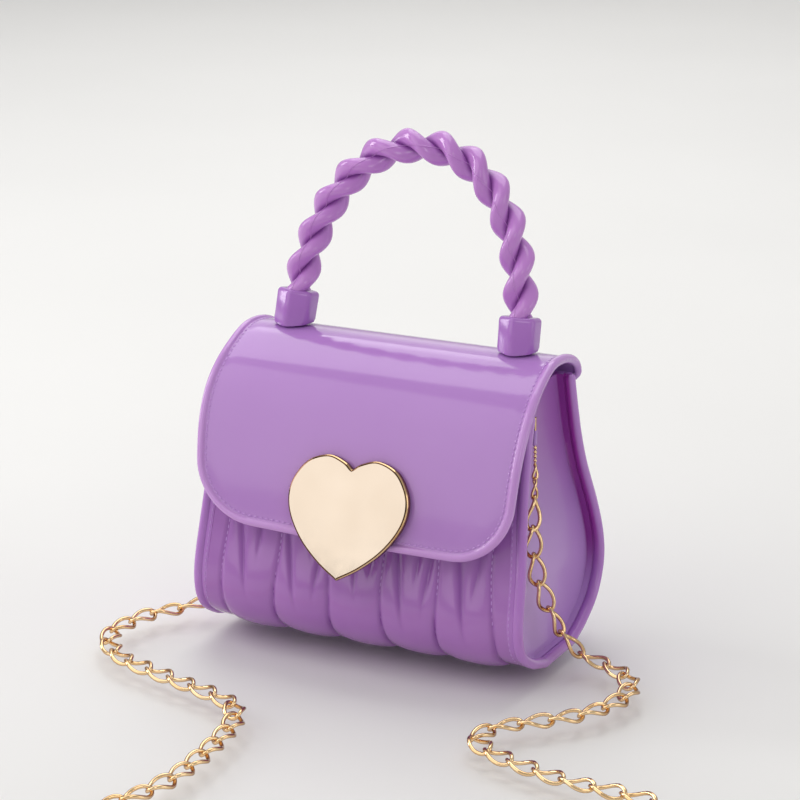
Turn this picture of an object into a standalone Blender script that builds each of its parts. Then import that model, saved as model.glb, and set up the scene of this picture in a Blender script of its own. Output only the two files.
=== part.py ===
"""A child's square shoulder bag of moulded soft plastic, closed, standing on its base.

The frame has its origin at the middle of the base, on the surface that the bag stands on. +Z is
up, +X runs to the wearer's right as the front is looked at, and the front faces -Y. Lengths are
metres. The body is a front, a base and a back sheet between two dished gussets, with a piping
bead round each side. The flap hinges on the back, and carries the twisted handle in its two
hexagonal collars, the metal heart and the upper half of the magnetic snap.
"""

import math

import bmesh
import bpy
from mathutils import Matrix, Vector

# Overall sizes of the body, to the centres of its piping beads
BODY_WIDTH = 0.146
BODY_DEPTH = 0.085
BACK_HEIGHT = 0.117
TOP_NARROWING = 0.0035
NARROWING_START_SHARE = 0.2415
NARROWING_SPAN_SHARE = 0.5795

# Sheet, piping and the gap kept between pieces that touch
SHEET = 0.002
FIT_GAP = 0.0003
EDGE_BEAD_RADIUS = 0.0022
EDGE_BEAD_POINT_COUNT = 52
BEAD_RESOLUTION = 2
BEAD_END_SHARES = (0.55, 1.0)

# Edges that turn by more than this stay sharp
SHARP_ANGLE = math.radians(35.0)

# How finely the outlines are stepped: for the sheets, the bead and the places read from them
SHEET_STEPS = 3
BEAD_STEPS = 4
FINE_STEPS = 8

# Front pleats
PUFF_COUNT = 5
PUFF_WIDTH = 0.0248
PUFF_HEIGHT = 0.0022
PUFF_START_SHARE = 0.33
PUFF_SWELL_SHARE = 0.2
PUFF_FADE_SHARE = 0.12

# Gussets
GUSSET_SHEET = 0.0016
GUSSET_SETBACK = 0.0045
GUSSET_BOW = 0.0045
GUSSET_RING_SHARES = (0.0, 0.12, 0.3, 0.5, 0.72)
GUSSET_PROBE_COUNT = 12

# Flap and the hinge line behind its curl. It reaches past the front, and rises over the back.
FLAP_WIDTH = 0.139
FLAP_OVERHANG = 0.0077
FLAP_DEPTH = BODY_DEPTH / 2.0 + FLAP_OVERHANG
FLAP_RISE = 0.0085
FLAP_HEIGHT = BACK_HEIGHT + FLAP_RISE
FLAP_CORNER_RADIUS = 0.0235
FLAP_BEAD_RADIUS = 0.002
FLAP_ROW_COUNT = 28
FLAP_CORNER_STEPS = 6
HINGE_DEPTH = 0.0230
HINGE_DROP = 0.005
HINGE_HEIGHT = BACK_HEIGHT - HINGE_DROP
HINGE_STRIP_WIDTH = 0.128
HINGE_STRIP_HEIGHT = 0.0115

# Handle: a half ellipse that leans back, of two strands twisted together
HANDLE_SPAN = 0.1026
HANDLE_RISE = 0.0790
HANDLE_SWAY = 0.0020
HANDLE_FULLNESS_SHARE = 0.93
HANDLE_DEPTH = 0.0038
HANDLE_SEAT_RISE = 0.0015
HANDLE_SEAT_HEIGHT = FLAP_HEIGHT + HANDLE_SEAT_RISE
HANDLE_LEAN = math.radians(12.0)
STRAND_RADIUS = 0.004
STRAND_OFFSET = 0.0033
HALF_TURN_PITCH = 0.0151
TWIST_START = math.radians(90.0)
SECTIONS_PER_HALF_TURN = 8
STRAND_SIDES = 16
ARCH_STEPS = 400

# Collars that the handle's ends stand on
COLLAR_RADIUS = 0.0092
COLLAR_HEIGHT = 0.0142
COLLAR_SEAT_GAP = 0.0004
COLLAR_CORNER = 0.0022
COLLAR_ROUNDING = 0.0012
COLLAR_SHOULDER_SHARE = 0.3
COLLAR_SIDES = 6
COLLAR_CORNER_POINTS = 4
COLLAR_CORE_SHARE = 0.45

# Sides of a round disc and of a thin post or rivet
DISC_SIDES = 24
POST_SIDES = 16

# Screw and washer under each collar, inside the flap, and how far they stand off its curve
WASHER_RADIUS = 0.005
WASHER_THICKNESS = 0.001
FIXING_RELIEF = 0.0005
SCREW_HEAD_RADIUS = 0.0032
SCREW_HEAD_HEIGHT = 0.002

# Metal heart: a shallow stamped shell on two posts
HEART_WIDTH = 0.054
HEART_HEIGHT = 0.051
HEART_DEPTH = 0.003
HEART_WALL = 0.0011
HEART_BEVEL = 0.0009
HEART_TIP_SHARE = 0.3291
HEART_TIP_HEIGHT = HEART_TIP_SHARE * FLAP_HEIGHT
HEART_TIP_STAND = 0.0108
HEART_TIP_DEPTH = FLAP_DEPTH + HEART_TIP_STAND
HEART_LEAN = math.radians(17.0)
HEART_POST_RADIUS = 0.002
HEART_POST_SPACING = 0.022
HEART_POST_HEIGHT = 0.036
HEART_STEPS = 3
HEART_MIDDLE_SHARE = 0.55

# Magnetic snap between the flap and the front, and how far its washer stands off the curve
SNAP_RADIUS = 0.007
SNAP_HEIGHT_SHARE = 0.526
SNAP_HEIGHT = SNAP_HEIGHT_SHARE * FLAP_HEIGHT
SNAP_WASHER_RADIUS = 0.0055
SNAP_WASHER_THICKNESS = 0.001
SNAP_RELIEF = 0.0006

# Metal tabs that the chain hangs from, riveted to the gussets under the flap. Their tops stand
# at a share of the height of the back.
TAB_WIDTH = 0.003
TAB_THICKNESS = 0.0012
TAB_DEPTH = 0.0190
TAB_TOP_SHARE = 0.886
TAB_STRAIGHT = 0.0052
TAB_DROP = 0.006
TAB_FOOT = 0.0045
TAB_KICK = 0.0035
TAB_MARGIN = 0.002
TAB_SEAT_GAP = 0.0005
RIVET_RADIUS = 0.0012
RIVET_HEIGHT = 0.0008

# Chain, as a plain tube along its route
CHAIN_RADIUS = 0.0025
CHAIN_POINT_COUNT = 76

# The bead's path down the front, under and up the back, as shares of half the depth and of the
# height of the back. The base runs between the two points named below.
BODY_OUTLINE_SHARES = (
    (-0.510, 0.929),
    (-0.647, 0.812),
    (-0.790, 0.608),
    (-0.900, 0.415),
    (-1.000, 0.232),
    (-0.930, 0.121),
    (-0.680, 0.043),
    (-0.420, 0.0),
    (0.140, 0.0),
    (0.380, 0.032),
    (0.600, 0.068),
    (0.840, 0.130),
    (0.985, 0.227),
    (0.990, 0.333),
    (0.870, 0.473),
    (0.650, 0.652),
    (0.478, 0.840),
    (0.352, 1.0),
)
BASE_START = 7
BASE_END = 8

# The flap's path after its hinge point, as shares of its reach and its height
FLAP_OUTLINE_SHARES = (
    (0.452, 0.928),
    (0.410, 0.957),
    (0.297, 0.979),
    (0.120, 0.9985),
    (-0.080, 0.998),
    (-0.269, 0.971),
    (-0.488, 0.919),
    (-0.657, 0.852),
    (-0.775, 0.770),
    (-0.857, 0.679),
    (-0.932, 0.560),
    (-1.000, 0.4325),
)

# Right half of the heart from its notch to its tip, as shares of half its width and its height
HEART_OUTLINE_SHARES = (
    (0.0, 0.885),
    (0.160, 0.955),
    (0.420, 1.0),
    (0.740, 0.935),
    (0.945, 0.785),
    (1.000, 0.630),
    (0.920, 0.460),
    (0.700, 0.275),
    (0.370, 0.115),
    (0.0, 0.0),
)

# Places across one puff
PUFF_COLUMN_SHARES = (0.0, 0.12, 0.3, 0.5, 0.7, 0.88)

# The chain's route from the end of the left tab, down inside the gusset, over the bead and along
# the floor to the right tab. The stretch from +152 to -12 mm lies in front of the bag, unseen.
CHAIN_ROUTE = (
    (-0.0695, -0.0190, 0.0876),
    (-0.0695, -0.0191, 0.0835),
    (-0.0699, -0.0202, 0.0760),
    (-0.0700, -0.0214, 0.0685),
    (-0.0694, -0.0206, 0.0575),
    (-0.0694, -0.0180, 0.0455),
    (-0.0716, -0.0158, 0.0330),
    (-0.0750, -0.0128, 0.0205),
    (-0.0785, -0.0112, 0.0105),
    (-0.0840, -0.0180, 0.0040),
    (-0.0910, -0.0260, 0.0026),
    (-0.0990, -0.0360, 0.0026),
    (-0.1030, -0.0520, 0.0026),
    (-0.1035, -0.0650, 0.0026),
    (-0.0970, -0.0770, 0.0026),
    (-0.0890, -0.0840, 0.0026),
    (-0.0790, -0.0900, 0.0026),
    (-0.0660, -0.0940, 0.0026),
    (-0.0540, -0.0980, 0.0026),
    (-0.0410, -0.1020, 0.0026),
    (-0.0280, -0.1065, 0.0026),
    (-0.0165, -0.1130, 0.0026),
    (-0.0105, -0.1260, 0.0026),
    (-0.0075, -0.1410, 0.0026),
    (-0.0060, -0.1550, 0.0026),
    (-0.0050, -0.1690, 0.0026),
    (-0.0050, -0.1830, 0.0026),
    (-0.0075, -0.1960, 0.0026),
    (-0.0130, -0.2100, 0.0026),
    (-0.0170, -0.2260, 0.0026),
    (-0.0120, -0.2410, 0.0026),
    (0.0040, -0.2475, 0.0026),
    (0.0260, -0.2400, 0.0026),
    (0.0550, -0.2230, 0.0026),
    (0.0920, -0.2070, 0.0026),
    (0.1300, -0.1930, 0.0026),
    (0.1640, -0.1800, 0.0026),
    (0.1830, -0.1630, 0.0026),
    (0.1860, -0.1420, 0.0026),
    (0.1730, -0.1270, 0.0026),
    (0.1560, -0.1230, 0.0026),
    (0.1340, -0.1210, 0.0026),
    (0.1220, -0.1200, 0.0026),
    (0.1090, -0.1155, 0.0026),
    (0.0970, -0.1120, 0.0026),
    (0.0870, -0.1065, 0.0026),
    (0.0805, -0.1010, 0.0026),
    (0.0800, -0.0930, 0.0026),
    (0.0850, -0.0830, 0.0026),
    (0.0940, -0.0750, 0.0026),
    (0.1030, -0.0660, 0.0026),
    (0.1110, -0.0560, 0.0026),
    (0.1155, -0.0430, 0.0026),
    (0.1170, -0.0300, 0.0026),
    (0.1110, -0.0170, 0.0026),
    (0.1000, -0.0085, 0.0026),
    (0.0890, -0.0050, 0.0030),
    (0.0800, -0.0065, 0.0085),
    (0.0755, -0.0110, 0.0205),
    (0.0716, -0.0158, 0.0330),
    (0.0694, -0.0180, 0.0455),
    (0.0694, -0.0206, 0.0575),
    (0.0700, -0.0214, 0.0685),
    (0.0699, -0.0202, 0.0760),
    (0.0695, -0.0191, 0.0835),
    (0.0695, -0.0190, 0.0876),
)


def clear_scene():
    """Removes every object that the file starts with."""
    for obj in list(bpy.data.objects):
        bpy.data.objects.remove(obj, do_unlink=True)


def make_material(name, color, roughness, metallic=0.0):
    """A Principled material with the given colour, roughness and metal share."""
    material = bpy.data.materials.new(name)
    material.use_nodes = True
    shader = material.node_tree.nodes["Principled BSDF"]
    shader.inputs["Base Color"].default_value = (*color, 1.0)
    shader.inputs["Roughness"].default_value = roughness
    shader.inputs["Metallic"].default_value = metallic
    return material


def add_object(name, bm, material):
    """Turns a bmesh into a named object with its normals pointing out."""
    bmesh.ops.recalc_face_normals(bm, faces=bm.faces)
    if bm.calc_volume(signed=True) < 0.0:
        bmesh.ops.reverse_faces(bm, faces=bm.faces)
    mesh = bpy.data.meshes.new(name)
    bm.to_mesh(mesh)
    bm.free()
    mesh.shade_smooth()
    mesh.set_sharp_from_angle(angle=SHARP_ANGLE)
    mesh.materials.append(material)
    obj = bpy.data.objects.new(name, mesh)
    bpy.context.scene.collection.objects.link(obj)
    return obj


def ease(share):
    """A smooth step from 0 to 1 as the share goes from 0 to 1."""
    share = min(max(share, 0.0), 1.0)
    return share * share * (3.0 - 2.0 * share)


def smooth_points(points, steps):
    """A smooth curve through the points, with this many steps between each two."""
    points = [Vector(point) for point in points]
    ends = [2.0 * points[0] - points[1], *points, 2.0 * points[-1] - points[-2]]
    curve = []
    for index in range(len(points) - 1):
        before, start, end, after = ends[index : index + 4]
        for step in range(steps):
            t = step / steps
            pull = (end - before) / 2.0
            push = (after - start) / 2.0
            curve.append(
                start * (2.0 * t**3 - 3.0 * t**2 + 1.0)
                + pull * (t**3 - 2.0 * t**2 + t)
                + end * (3.0 * t**2 - 2.0 * t**3)
                + push * (t**3 - t**2)
            )
    curve.append(points[-1])
    return curve


def even_points(points, count):
    """This many points at equal steps along a polyline."""
    reach = [0.0]
    for start, end in zip(points, points[1:]):
        reach.append(reach[-1] + (end - start).length)
    result = []
    span = 0
    for index in range(count):
        wanted = reach[-1] * index / (count - 1)
        while span < len(points) - 2 and reach[span + 1] < wanted:
            span += 1
        part = (wanted - reach[span]) / (reach[span + 1] - reach[span])
        result.append(points[span].lerp(points[span + 1], part))
    return result


def outward_normals(outline):
    """Unit normals of a (y, z) outline that runs down the front and up the back."""
    normals = []
    for index in range(len(outline)):
        ahead = outline[min(index + 1, len(outline) - 1)] - outline[max(index - 1, 0)]
        normals.append(Vector((ahead.y, -ahead.x)).normalized())
    return normals


def body_outline(steps):
    """The bead's centre line on one side as (y, z) points, resting on the floor at the base."""
    points = [(y * BODY_DEPTH / 2.0, z * BACK_HEIGHT) for y, z in BODY_OUTLINE_SHARES]
    curve = smooth_points(points, steps)
    return [Vector((point.x, max(point.y, EDGE_BEAD_RADIUS))) for point in curve]


def half_width(height):
    """Half the width between the bead centres at this height."""
    rise = ease((height / BACK_HEIGHT - NARROWING_START_SHARE) / NARROWING_SPAN_SHARE)
    return BODY_WIDTH / 2.0 - TOP_NARROWING * rise


def panel_half_width(height):
    """Where a sheet ends beside the bead."""
    return half_width(height) - EDGE_BEAD_RADIUS - FIT_GAP


def sheet_object(name, outer, inner, material):
    """A closed sheet between two grids of points, each a list of equal rows."""
    bm = bmesh.new()
    rows, columns = len(outer), len(outer[0])
    sides = [
        [[bm.verts.new(point) for point in row] for row in grid] for grid in (outer, inner)
    ]
    for grid in sides:
        for i in range(rows - 1):
            for j in range(columns - 1):
                bm.faces.new((grid[i][j], grid[i][j + 1], grid[i + 1][j + 1], grid[i + 1][j]))
    top, low = sides
    rim = [(0, j) for j in range(columns)] + [(i, columns - 1) for i in range(1, rows)]
    rim += [(rows - 1, j) for j in range(columns - 2, -1, -1)]
    rim += [(i, 0) for i in range(rows - 2, 0, -1)]
    for (i, j), (k, m) in zip(rim, rim[1:] + rim[:1]):
        bm.faces.new((top[i][j], top[k][m], low[k][m], low[i][j]))
    return add_object(name, bm, material)


def loft_object(name, loops, material):
    """A closed solid through loops of equal length, capped at both ends."""
    bm = bmesh.new()
    rings = [[bm.verts.new(point) for point in loop] for loop in loops]
    count = len(rings[0])
    for low, high in zip(rings, rings[1:]):
        for j in range(count):
            k = (j + 1) % count
            bm.faces.new((low[j], low[k], high[k], high[j]))
    bm.faces.new(rings[0])
    bm.faces.new(rings[-1])
    return add_object(name, bm, material)


def tube_object(name, points, radius, material, end_shares=()):
    """A round tube along a polyline, its ends narrowed by the given shares of the radius."""
    curve = bpy.data.curves.new(name, "CURVE")
    curve.dimensions = "3D"
    curve.bevel_depth = radius
    curve.bevel_resolution = BEAD_RESOLUTION
    curve.use_fill_caps = True
    spline = curve.splines.new("POLY")
    spline.points.add(len(points) - 1)
    for index, point in enumerate(points):
        spline.points[index].co = (*point, 1.0)
        from_end = min(index, len(points) - 1 - index)
        if from_end < len(end_shares):
            spline.points[index].radius = end_shares[from_end]
    curve.materials.append(material)
    obj = bpy.data.objects.new(name, curve)
    bpy.context.scene.collection.objects.link(obj)
    return obj


def disc_object(name, centre, axis, radius, thickness, material, sides=DISC_SIDES):
    """A round disc whose near face is at the centre and whose body runs along the axis."""
    turn = axis.to_track_quat("Z", "Y").to_matrix()
    loops = []
    for depth in (0.0, thickness):
        ring = [
            centre
            + turn @ Vector((radius * math.cos(angle), radius * math.sin(angle), depth))
            for angle in (2.0 * math.pi * side / sides for side in range(sides))
        ]
        loops.append(ring)
    return loft_object(name, loops, material)


def split_outline(steps):
    """The outline with its normals, cut into its front, base and back stretches."""
    outline = body_outline(steps)
    normals = outward_normals(outline)
    pairs = list(zip(outline, normals))
    return pairs[: BASE_START * steps + 1], pairs[BASE_END * steps :]


def puff_columns():
    """Places across the front, and how far the puffs' arch stands out at each."""
    first = -PUFF_COUNT * PUFF_WIDTH / 2.0
    columns = [(-1.0, 0.0)]
    for puff in range(PUFF_COUNT):
        for share in PUFF_COLUMN_SHARES:
            across = 2.0 * share - 1.0
            place = first + PUFF_WIDTH * (puff + share)
            columns.append((place, math.sqrt(max(1.0 - across * across, 0.0))))
    columns.append((-first, 0.0))
    columns.append((1.0, 0.0))
    return columns


def puff_rise(share):
    """How full the puffs are, from the top of the front at 0 to its lower end at 1."""
    swell = ease((share - PUFF_START_SHARE) / PUFF_SWELL_SHARE)
    return PUFF_HEIGHT * swell * ease((1.0 - share) / PUFF_FADE_SHARE)


def make_front(material):
    """The front sheet with its row of puffs between sewn channels."""
    front, _ = split_outline(SHEET_STEPS)
    columns = puff_columns()
    outer, inner = [], []
    for row, (point, normal) in enumerate(front):
        rise = puff_rise(row / (len(front) - 1))
        edge = panel_half_width(point.y)
        narrow = half_width(point.y) / half_width(0.0)
        outer_row, inner_row = [], []
        for column, (place, arch) in enumerate(columns):
            if column in (0, len(columns) - 1):
                x = place * edge
            else:
                x = place * narrow
            for stand, cells in ((SHEET / 2.0, outer_row), (-SHEET / 2.0, inner_row)):
                spot = point + normal * (stand + rise * arch)
                cells.append(Vector((x, spot.x, spot.y)))
        outer.append(outer_row)
        inner.append(inner_row)
    sheet_object("front_panel", outer, inner, material)


def make_back(material):
    """The plain back sheet, from the base up to the mouth."""
    _, back = split_outline(SHEET_STEPS)
    outer, inner = [], []
    for point, normal in back:
        edge = panel_half_width(point.y)
        for stand, grid in ((SHEET / 2.0, outer), (-SHEET / 2.0, inner)):
            spot = point + normal * stand
            columns = (-edge, -edge / 3.0, edge / 3.0, edge)
            grid.append([Vector((x, spot.x, spot.y)) for x in columns])
    sheet_object("back_panel", outer, inner, material)


def make_base(material):
    """The flat base between the front and the back, resting on the floor."""
    start = BODY_OUTLINE_SHARES[BASE_START][0] * BODY_DEPTH / 2.0 + FIT_GAP
    end = BODY_OUTLINE_SHARES[BASE_END][0] * BODY_DEPTH / 2.0 - FIT_GAP
    edge = panel_half_width(0.0)
    corners = ((-edge, start), (edge, start), (edge, end), (-edge, end))
    loops = [[Vector((x, y, z)) for x, y in corners] for z in (0.0, SHEET)]
    loft_object("base_panel", loops, material)


def gusset_face(point, hub, share, stand, side):
    """A point of the gusset's dished face, between the bead's outline and the mouth's middle."""
    spot = point.lerp(hub, share)
    depth = GUSSET_SETBACK + GUSSET_BOW * (1.0 - (1.0 - share) ** 2)
    return Vector((side * (half_width(spot.y) - depth + stand), spot.x, spot.y))


def make_gusset(name, side, material):
    """A dished side wall: a flange beside the bead, and a face bowed into the bag."""
    outline = body_outline(SHEET_STEPS)
    normals = outward_normals(outline)
    inset = SHEET / 2.0 + FIT_GAP + GUSSET_SHEET / 2.0
    rim_out = [p - n * (inset - GUSSET_SHEET / 2.0) for p, n in zip(outline, normals)]
    rim_in = [p - n * (inset + GUSSET_SHEET / 2.0) for p, n in zip(outline, normals)]
    hub = (outline[0] + outline[-1]) / 2.0
    shares = GUSSET_RING_SHARES
    bm = bmesh.new()
    grids = []
    for rim, stand in ((rim_out, -GUSSET_SHEET / 2.0), (rim_in, GUSSET_SHEET / 2.0)):
        rows = []
        for source, point in zip(outline, rim):
            lip = Vector((side * panel_half_width(source.y), point.x, point.y))
            row = [lip]
            row += [gusset_face(point, hub, share, stand, side) for share in shares]
            rows.append([bm.verts.new(place) for place in row])
        pole = bm.verts.new(gusset_face(hub, hub, 1.0, stand, side))
        for low, high in zip(rows, rows[1:]):
            for j in range(len(shares)):
                bm.faces.new((low[j], low[j + 1], high[j + 1], high[j]))
            bm.faces.new((low[-1], pole, high[-1]))
        grids.append((rows, pole))
    (out_rows, out_pole), (in_rows, in_pole) = grids
    for low, high, low_in, high_in in zip(out_rows, out_rows[1:], in_rows, in_rows[1:]):
        bm.faces.new((low[0], high[0], high_in[0], low_in[0]))
    for row, row_in in ((out_rows[0], in_rows[0]), (out_rows[-1], in_rows[-1])):
        edge, edge_in = [*row, out_pole], [*row_in, in_pole]
        for j in range(len(edge) - 1):
            bm.faces.new((edge[j], edge[j + 1], edge_in[j + 1], edge_in[j]))
    add_object(name, bm, material)


def make_edge_bead(name, side, material):
    """The piping round one side of the body, open at the mouth, with rounded ends."""
    outline = even_points(body_outline(BEAD_STEPS), EDGE_BEAD_POINT_COUNT)
    points = [(side * half_width(point.y), point.x, point.y) for point in outline]
    tube_object(name, points, EDGE_BEAD_RADIUS, material, BEAD_END_SHARES)


def back_outside(height):
    """The outside of the back sheet at this height, and the normal there."""
    _, back = split_outline(FINE_STEPS)
    spots = [(point + normal * SHEET / 2.0, normal) for point, normal in back]
    return min(spots, key=lambda spot: abs(spot[0].y - height))


def make_hinge_strip(material):
    """The welded strip behind the mouth that the flap's curl hinges on."""
    top = HINGE_HEIGHT - FIT_GAP
    low_spot, low_normal = back_outside(top - HINGE_STRIP_HEIGHT)
    top_spot, top_normal = back_outside(top)
    low_in = low_spot + low_normal * FIT_GAP
    low_out = low_spot + low_normal * (FIT_GAP + SHEET)
    top_in = top_spot + top_normal * FIT_GAP
    section = (low_in, low_out, Vector((HINGE_DEPTH, top)), Vector((top_in.x, top)))
    half = HINGE_STRIP_WIDTH / 2.0
    loops = [[Vector((x, spot.x, spot.y)) for spot in section] for x in (-half, half)]
    loft_object("hinge_strip", loops, material)


def flap_outline():
    """The flap's middle line from the hinge over the top to the hem, as (y, z) points."""
    start = (HINGE_DEPTH - SHEET / 2.0, HINGE_HEIGHT)
    points = [start] + [(y * FLAP_DEPTH, z * FLAP_HEIGHT) for y, z in FLAP_OUTLINE_SHARES]
    return smooth_points(points, FINE_STEPS)


class Strip:
    """A middle line that is read by the distance along it."""

    def __init__(self, points):
        self.points = points
        self.reach = [0.0]
        for start, end in zip(points, points[1:]):
            self.reach.append(self.reach[-1] + (end - start).length)

    @property
    def length(self):
        """The whole length of the line."""
        return self.reach[-1]

    def at(self, distance):
        """The (y, z) point at this distance, and the normal that points out of the bag."""
        span = 0
        while span < len(self.points) - 2 and self.reach[span + 1] < distance:
            span += 1
        start, end = self.points[span], self.points[span + 1]
        part = (distance - self.reach[span]) / (self.reach[span + 1] - self.reach[span])
        along = (end - start).normalized()
        return start.lerp(end, part), Vector((along.y, -along.x))

    def nearest(self, goal):
        """The distance along the line of the point nearest to a (y, z) goal."""
        index = min(range(len(self.points)), key=lambda i: (self.points[i] - goal).length)
        return self.reach[index]


def flap_strip():
    """The flap's middle line, ready to be read by distance."""
    return Strip(flap_outline())


def flap_rows(strip, inset):
    """Distances along the flap and its half width at each, round its lower corners."""
    half = FLAP_WIDTH / 2.0 - inset
    radius = FLAP_CORNER_RADIUS - inset
    straight = strip.length - inset - radius
    rows = [(straight * row / FLAP_ROW_COUNT, half) for row in range(FLAP_ROW_COUNT)]
    for step in range(FLAP_CORNER_STEPS + 1):
        angle = math.pi / 2.0 * step / FLAP_CORNER_STEPS
        rows.append((straight + radius * math.sin(angle), half - radius * (1.0 - math.cos(angle))))
    return rows


def make_flap_panel(material):
    """The flap's sheet, rounded at its lower corners."""
    strip = flap_strip()
    rows = flap_rows(strip, FLAP_BEAD_RADIUS + FIT_GAP)
    outer, inner = [], []
    for distance, half in rows:
        point, normal = strip.at(distance)
        for stand, grid in ((SHEET / 2.0, outer), (-SHEET / 2.0, inner)):
            spot = point + normal * stand
            columns = (-half, -half / 3.0, half / 3.0, half)
            grid.append([Vector((x, spot.x, spot.y)) for x in columns])
    sheet_object("flap_panel", outer, inner, material)


def make_flap_bead(material):
    """The piping round the flap's sides and hem."""
    strip = flap_strip()
    side = flap_rows(strip, 0.0)
    path = []
    for sign, rows in ((-1.0, side), (1.0, side[::-1])):
        for distance, half in rows:
            point, _ = strip.at(distance)
            path.append((sign * half, point.x, point.y))
    tube_object("flap_bead", path, FLAP_BEAD_RADIUS, material, BEAD_END_SHARES)


def handle_point(angle):
    """The handle's middle line, from 0 at the right seat to a half turn at the left one."""
    across, up = math.cos(angle), max(math.sin(angle), 0.0)
    rise = HANDLE_RISE * up**HANDLE_FULLNESS_SHARE
    wide = math.copysign(abs(across) ** HANDLE_FULLNESS_SHARE, across)
    return Vector(
        (
            HANDLE_SPAN / 2.0 * wide + HANDLE_SWAY * up,
            HANDLE_DEPTH + rise * math.sin(HANDLE_LEAN),
            HANDLE_SEAT_HEIGHT + rise * math.cos(HANDLE_LEAN),
        )
    )


def seat_angle(height):
    """The arch angle at which the handle has risen this far above its seat."""
    return math.asin((height / HANDLE_RISE) ** (1.0 / HANDLE_FULLNESS_SHARE))


def arch_normal():
    """The direction square to the handle's plane, pointing forward."""
    return Vector((0.0, -math.cos(HANDLE_LEAN), math.sin(HANDLE_LEAN)))


def rope_section(turn):
    """The outline of two strands side by side, turned by an angle, as (across, along) shares."""
    outline = []
    for side in range(STRAND_SIDES):
        angle = 2.0 * math.pi * side / STRAND_SIDES
        reach = STRAND_OFFSET * abs(math.cos(angle))
        reach += math.sqrt(STRAND_RADIUS**2 - (STRAND_OFFSET * math.sin(angle)) ** 2)
        outline.append((reach * math.cos(angle + turn), reach * math.sin(angle + turn)))
    return outline


def make_rope(material):
    """The twisted handle: its section turns steadily along the arch."""
    seat = seat_angle(COLLAR_HEIGHT + FIT_GAP)
    sweep = math.pi - 2.0 * seat
    arch = [handle_point(seat + sweep * i / ARCH_STEPS) for i in range(ARCH_STEPS + 1)]
    length = sum((end - start).length for start, end in zip(arch, arch[1:]))
    half_turns = round(length / HALF_TURN_PITCH)
    count = half_turns * SECTIONS_PER_HALF_TURN + 1
    path = even_points(arch, count)
    out = arch_normal()
    loops = []
    for index, point in enumerate(path):
        along = path[min(index + 1, count - 1)] - path[max(index - 1, 0)]
        if index in (0, count - 1):
            along = collar_frame(math.copysign(1.0, point.x))[1] @ Vector((0.0, 0.0, 1.0))
            along *= math.copysign(1.0, point.x)
        side = out.cross(along).normalized()
        turn = TWIST_START + math.pi * index / SECTIONS_PER_HALF_TURN
        loops.append([point + side * a + out * b for a, b in rope_section(turn)])
    loft_object("handle_rope", loops, material)


def hexagon_loop(radius, corner, height):
    """A hexagon with rounded corners at this height, one corner to the front."""
    loop = []
    sector = 2.0 * math.pi / COLLAR_SIDES
    reach = radius - corner / math.cos(sector / 2.0)
    for side in range(COLLAR_SIDES):
        middle = sector * side - math.pi / 2.0
        hub = Vector((reach * math.cos(middle), reach * math.sin(middle), height))
        for step in range(COLLAR_CORNER_POINTS):
            angle = middle + sector * (step / (COLLAR_CORNER_POINTS - 1) - 1.0 / 2.0)
            loop.append(hub + Vector((corner * math.cos(angle), corner * math.sin(angle), 0.0)))
    return loop


def collar_frame(side):
    """The place and turn of a collar: its axis follows the handle's foot."""
    angle = seat_angle(COLLAR_HEIGHT)
    foot = handle_point(0.0 if side > 0.0 else math.pi)
    top = handle_point(angle if side > 0.0 else math.pi - angle)
    up = (top - foot).normalized()
    front = (arch_normal() - up * arch_normal().dot(up)).normalized()
    across = up.cross(front)
    turn = Matrix((-across, -front, up)).transposed()
    return foot, turn


def make_collar(name, side, material):
    """A hexagonal collar whose foot follows the flap and whose flat top carries the rope."""
    soft = COLLAR_ROUNDING
    inner = hexagon_loop(COLLAR_RADIUS - soft, COLLAR_CORNER - soft / 2.0, COLLAR_HEIGHT)
    drop = soft * COLLAR_SHOULDER_SHARE
    shoulder = hexagon_loop(COLLAR_RADIUS - drop, COLLAR_CORNER, COLLAR_HEIGHT - drop)
    core = COLLAR_CORE_SHARE
    loops = [
        hexagon_loop(COLLAR_RADIUS * core, COLLAR_CORNER * core, 0.0),
        hexagon_loop(COLLAR_RADIUS, COLLAR_CORNER, 0.0),
        hexagon_loop(COLLAR_RADIUS, COLLAR_CORNER, COLLAR_HEIGHT - soft),
        shoulder,
        inner,
    ]
    foot, turn = collar_frame(side)
    loops = [[foot + turn @ point for point in loop] for loop in loops]
    down = turn @ Vector((0.0, 0.0, -1.0))
    stand = SHEET / 2.0 + COLLAR_SEAT_GAP
    for loop in loops[:2]:
        for point in loop:
            point -= down * COLLAR_RADIUS
            point += down * travel_to_flap(point, down, stand)
    loft_object(name, loops, material)


def make_fixing(side_name, side, steel):
    """The washer and screw head that hold one collar from inside the flap."""
    strip = flap_strip()
    foot, _ = collar_frame(side)
    distance = strip.nearest(Vector((foot.y, foot.z)))
    point, normal = strip.at(distance)
    axis = Vector((0.0, -normal.x, -normal.y))
    place = Vector((foot.x, point.x, point.y)) + axis * (SHEET / 2.0 + FIXING_RELIEF)
    disc_object(f"handle_washer_{side_name}", place, axis, WASHER_RADIUS, WASHER_THICKNESS, steel)
    head = place + axis * (WASHER_THICKNESS + FIT_GAP)
    disc_object(f"handle_screw_{side_name}", head, axis, SCREW_HEAD_RADIUS, SCREW_HEAD_HEIGHT, steel)


def heart_frame():
    """The heart's own frame: x across, y up its plane, z out of its face, zero at its tip."""
    up = Vector((0.0, math.sin(HEART_LEAN), math.cos(HEART_LEAN)))
    out = Vector((0.0, -math.cos(HEART_LEAN), math.sin(HEART_LEAN)))
    turn = Matrix((up.cross(out), up, out)).transposed()
    return Vector((0.0, -HEART_TIP_DEPTH, HEART_TIP_HEIGHT)), turn


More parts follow.
